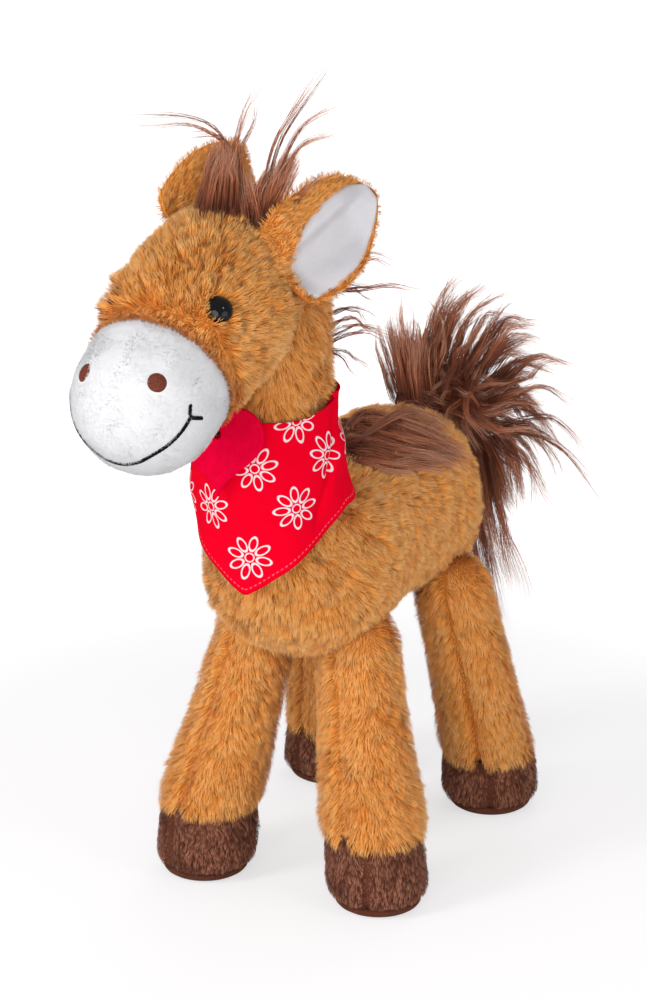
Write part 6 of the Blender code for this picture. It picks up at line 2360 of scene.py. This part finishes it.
@dataclass
class Heart:
    """The bare felt heart and the thread loop that holds it."""

    width: float = 41.0 * MM
    height: float = 37.5 * MM
    thickness: float = 2.0 * MM
    hole: float = 2.0 * MM
    hole_drop_share: float = 1.4
    loop_radius: float = 3.8 * MM
    thread: float = 0.45 * MM
    loop_stops: tuple[int, int] = (72, 10)

    def outline(self, steps: int) -> Array:
        """A heart of unit width and height about its notch."""
        t = np.linspace(0, math.tau, steps, endpoint=False)
        x = np.sin(t) ** 3 / 2
        z = (13 * np.cos(t) - 5 * np.cos(2 * t) - 2 * np.cos(3 * t) - np.cos(4 * t)) / 16
        return np.stack((x, (z - z[0]) / (z.max() - z.min())), axis=1)

    def build(self, bench: Bench) -> None:
        """Makes heart and loop.

        Args:
            bench: Finishes and neighbours.
        """
        pivot = joint_place("tag_swing")
        line = self.outline(140)
        middle = np.array((0.0, -0.35))
        rings = []
        half = self.thickness / 2
        face = ((0.5, 1.0), (0.955, 1.0), (0.985, 0.8), (1.0, 0.35))
        for share, depth in face + tuple((share, -depth) for share, depth in face[::-1]):
            flat = middle + (line - middle) * share
            ring = np.zeros((len(flat), 3))
            ring[:, 0] = flat[:, 0] * self.width
            ring[:, 2] = flat[:, 1] * self.height + self.hole * self.hole_drop_share
            ring[:, 1] = -depth * half
            rings.append(pivot + ring)
        heart = loft("heart_felt", rings, rings[0].mean(axis=0), rings[-1].mean(axis=0))
        bore = [(-5 * MM, 0.0), (-5 * MM, self.hole), (5 * MM, self.hole), (5 * MM, 0.0)]
        cutter = revolve("eyelet", pivot, BACKWARD, bore, 32)
        cut = heart.modifiers.new("eyelet", "BOOLEAN")
        cut.operation = "DIFFERENCE"
        cut.object = cutter
        bpy.context.view_layer.update()
        evaluated = heart.evaluated_get(bpy.context.evaluated_depsgraph_get())
        heart.data = bpy.data.meshes.new_from_object(evaluated)
        heart.modifiers.clear()
        bpy.data.objects.remove(cutter, do_unlink=True)
        heart.data.shade_smooth()
        heart.data.set_sharp_from_angle(angle=math.radians(50))
        self.heart = heart

        centre = node_middle("tag_loop")
        rings = []
        stops, sides = self.loop_stops
        for k in range(stops):
            angle = math.tau * k / stops
            spoke = BACKWARD * math.cos(angle) + UP * math.sin(angle)
            twist = 1 + 0.12 * math.sin(angle * 30)
            place, half = centre + spoke * self.loop_radius, self.thread * twist
            rings.append(superellipse(place, spoke, ACROSS, (half, half), sides))
        points = [p for ring in rings for p in ring]
        faces = ring_faces(stops, sides)
        last = (stops - 1) * sides
        for k in range(sides):
            n = (k + 1) % sides
            faces.append((last + k, last + n, n, k))
        self.loop = mesh_object("tag_thread", points, faces)

    def dress(self, bench: Bench) -> None:
        """Finishes both.

        Args:
            bench: Finishes and neighbours.
        """
        settle(paint(self.heart, bench.dyes.felt), "tag", "red_felt", "heart_tag")
        settle(paint(self.loop, bench.dyes.black_thread), "torso", "black_thread", "tag_loop")


@dataclass(frozen=True)
class Lamp:
    """A soft box: where it stands, its size and its power."""

    name: str
    azimuth: float
    elevation: float
    distance: float
    size: float
    power: float

    def place(self, target: Sequence[float]) -> None:
        """Puts it up, turned to the target."""
        a, e = math.radians(self.azimuth), math.radians(self.elevation)
        back = Vector((math.sin(a) * math.cos(e), -math.cos(a) * math.cos(e), math.sin(e)))
        light = bpy.data.lights.new(self.name, "AREA")
        light.shape = "DISK"
        light.size = self.size
        light.energy = self.power
        lamp = linked(self.name, light)
        lamp.location = Vector(target) + back * self.distance
        lamp.rotation_mode = "QUATERNION"
        lamp.rotation_quaternion = (-back).to_track_quat("-Z", "Y")


@dataclass
class Studio:
    """Pale floor, white surround, soft boxes and the camera."""

    floor_size: float = 6.0
    floor_colour: Colour = (0.86, 0.85, 0.855)
    floor_seen: Colour = (0.48, 0.47, 0.485)
    # Painted glow of the floor near the foal, seen only by the camera.
    painted_floor_glow: float = 0.62
    white_from: float = 0.22
    white_at: float = 0.60
    sky: float = 0.38
    lamps: tuple[Lamp, ...] = (
        Lamp("key", -30.0, 32.0, 1.5, 0.5, 7.8),
        Lamp("front", 17.0, 13.0, 1.7, 1.3, 14.5),
        Lamp("fill", 75.0, 6.0, 1.6, 1.1, 4.6),
        Lamp("rim", 190.0, 40.0, 1.6, 1.0, 3.0),
        Lamp("catch", 75.0, 42.0, 1.5, 0.12, 0.9),
    )

    def build(self) -> None:
        """Sets everything up."""
        view = View()
        scene = bpy.context.scene
        scene.view_settings.view_transform = "Standard"
        lens = bpy.data.cameras.new("camera")
        lens.lens = view.lens
        lens.sensor_fit = "VERTICAL"
        lens.sensor_height = view.sensor
        lens.sensor_width = view.sensor
        lens.clip_start = 0.05
        lens.clip_end = 20.0
        camera = linked("camera", lens)
        camera.location = Vector(view.eye)
        camera.rotation_mode = "QUATERNION"
        camera.rotation_quaternion = Vector(-view.back).to_track_quat("-Z", "Y")
        scene.camera = camera
        for lamp in self.lamps:
            lamp.place(view.target)
        self.floor()
        self.surround()

    def floor(self) -> None:
        """A wide pale floor, seen with its shadows near the foal and, through a painted glow, running out to
        white.
        """
        half = self.floor_size / 2
        corners = [(-half, -half, 0), (half, -half, 0), (half, half, 0), (-half, half, 0)]
        plane = mesh_object("floor", corners, [(0, 1, 2, 3)], outward=False)
        recipe = Recipe("floor")
        away = recipe.node("ShaderNodeVectorMath", {"operation": "LENGTH"}, {0: recipe.place()})
        # Painted glow: to the camera the floor glows a little near the foal and fully white further out,
        # over a darker seen colour that keeps the shadows.
        glow = recipe.blend(
            away.ramp(self.white_from, self.white_at), (self.painted_floor_glow,) * 3, (1.0, 1.0, 1.0)
        )
        recipe.dress(Base_Color=self.floor_seen, Roughness=0.9, Specular_IOR_Level=0.0)
        recipe.dress(Emission_Color=glow, Emission_Strength=1.0)
        seen = recipe.output_of(recipe.node("ShaderNodeLightPath"), "Is Camera Ray")
        pale = recipe.node("ShaderNodeBsdfDiffuse", None, {"Color": self.floor_colour})
        mixed = recipe.node("ShaderNodeMixShader", None, {0: seen, 1: pale})
        recipe.tree.links.new(recipe.shader.outputs[0], mixed.socket.node.inputs[2])
        recipe.tree.links.new(mixed.socket, recipe.output.inputs[0])
        paint(plane, recipe.material)

    def surround(self) -> None:
        """Soft light from all round, white where it is seen."""
        world = bpy.data.worlds.new("surround")
        world.use_nodes = True
        bpy.context.scene.world = world
        nodes, links = world.node_tree.nodes, world.node_tree.links
        soft = nodes["Background"]
        soft.inputs["Color"].default_value = (1.0, 1.0, 1.0, 1.0)
        soft.inputs["Strength"].default_value = self.sky
        white = nodes.new("ShaderNodeBackground")
        white.inputs["Color"].default_value = (1.0, 1.0, 1.0, 1.0)
        white.inputs["Strength"].default_value = 1.0
        path = nodes.new("ShaderNodeLightPath")
        mixed = nodes.new("ShaderNodeMixShader")
        links.new(path.outputs["Is Camera Ray"], mixed.inputs[0])
        links.new(soft.outputs[0], mixed.inputs[1])
        links.new(white.outputs[0], mixed.inputs[2])
        links.new(mixed.outputs[0], nodes["World Output"].inputs[0])


def main() -> None:
    """Builds the foal and its studio."""
    logging.basicConfig(level=logging.INFO, format="%(name)s: %(message)s")
    Studio().build()
    bench = Bench()
    assemblies = [
        Torso(),
        Neck(),
        Leg("leg_front_left", Side.LEFT, FRONT_CUT, -12.0, 10.0, SEED + 200),
        Leg("leg_front_right", Side.RIGHT, FRONT_CUT, 16.0, 22.0, SEED + 220, (-1.0 * MM, 0.0)),
        Leg("leg_rear_left", Side.LEFT, REAR_CUT, 13.0, 24.0, SEED + 240, (-1.2 * MM, -2.5 * MM)),
        Leg("leg_rear_right", Side.RIGHT, REAR_CUT, 22.0, 22.0, SEED + 260),
        Head(),
        Ear(Side.LEFT, (16.0, 44.0, 17.5), (0.68, -0.45, 0.58), 49.0 * MM, 16.3 * MM, 22.3 * MM),
        Ear(Side.RIGHT, (6.5, 33.0, 25.0), (-0.89, 0.39, -0.22), 39.5 * MM, 14.5 * MM, 18.5 * MM),
        Forelock(),
        Mane(),
        Tail(),
        Neckerchief(),
        Heart(),
    ]
    for assembly in assemblies:
        assembly.build(bench)
    for assembly in assemblies:
        assembly.dress(bench)


if __name__ == "__main__":
    main()
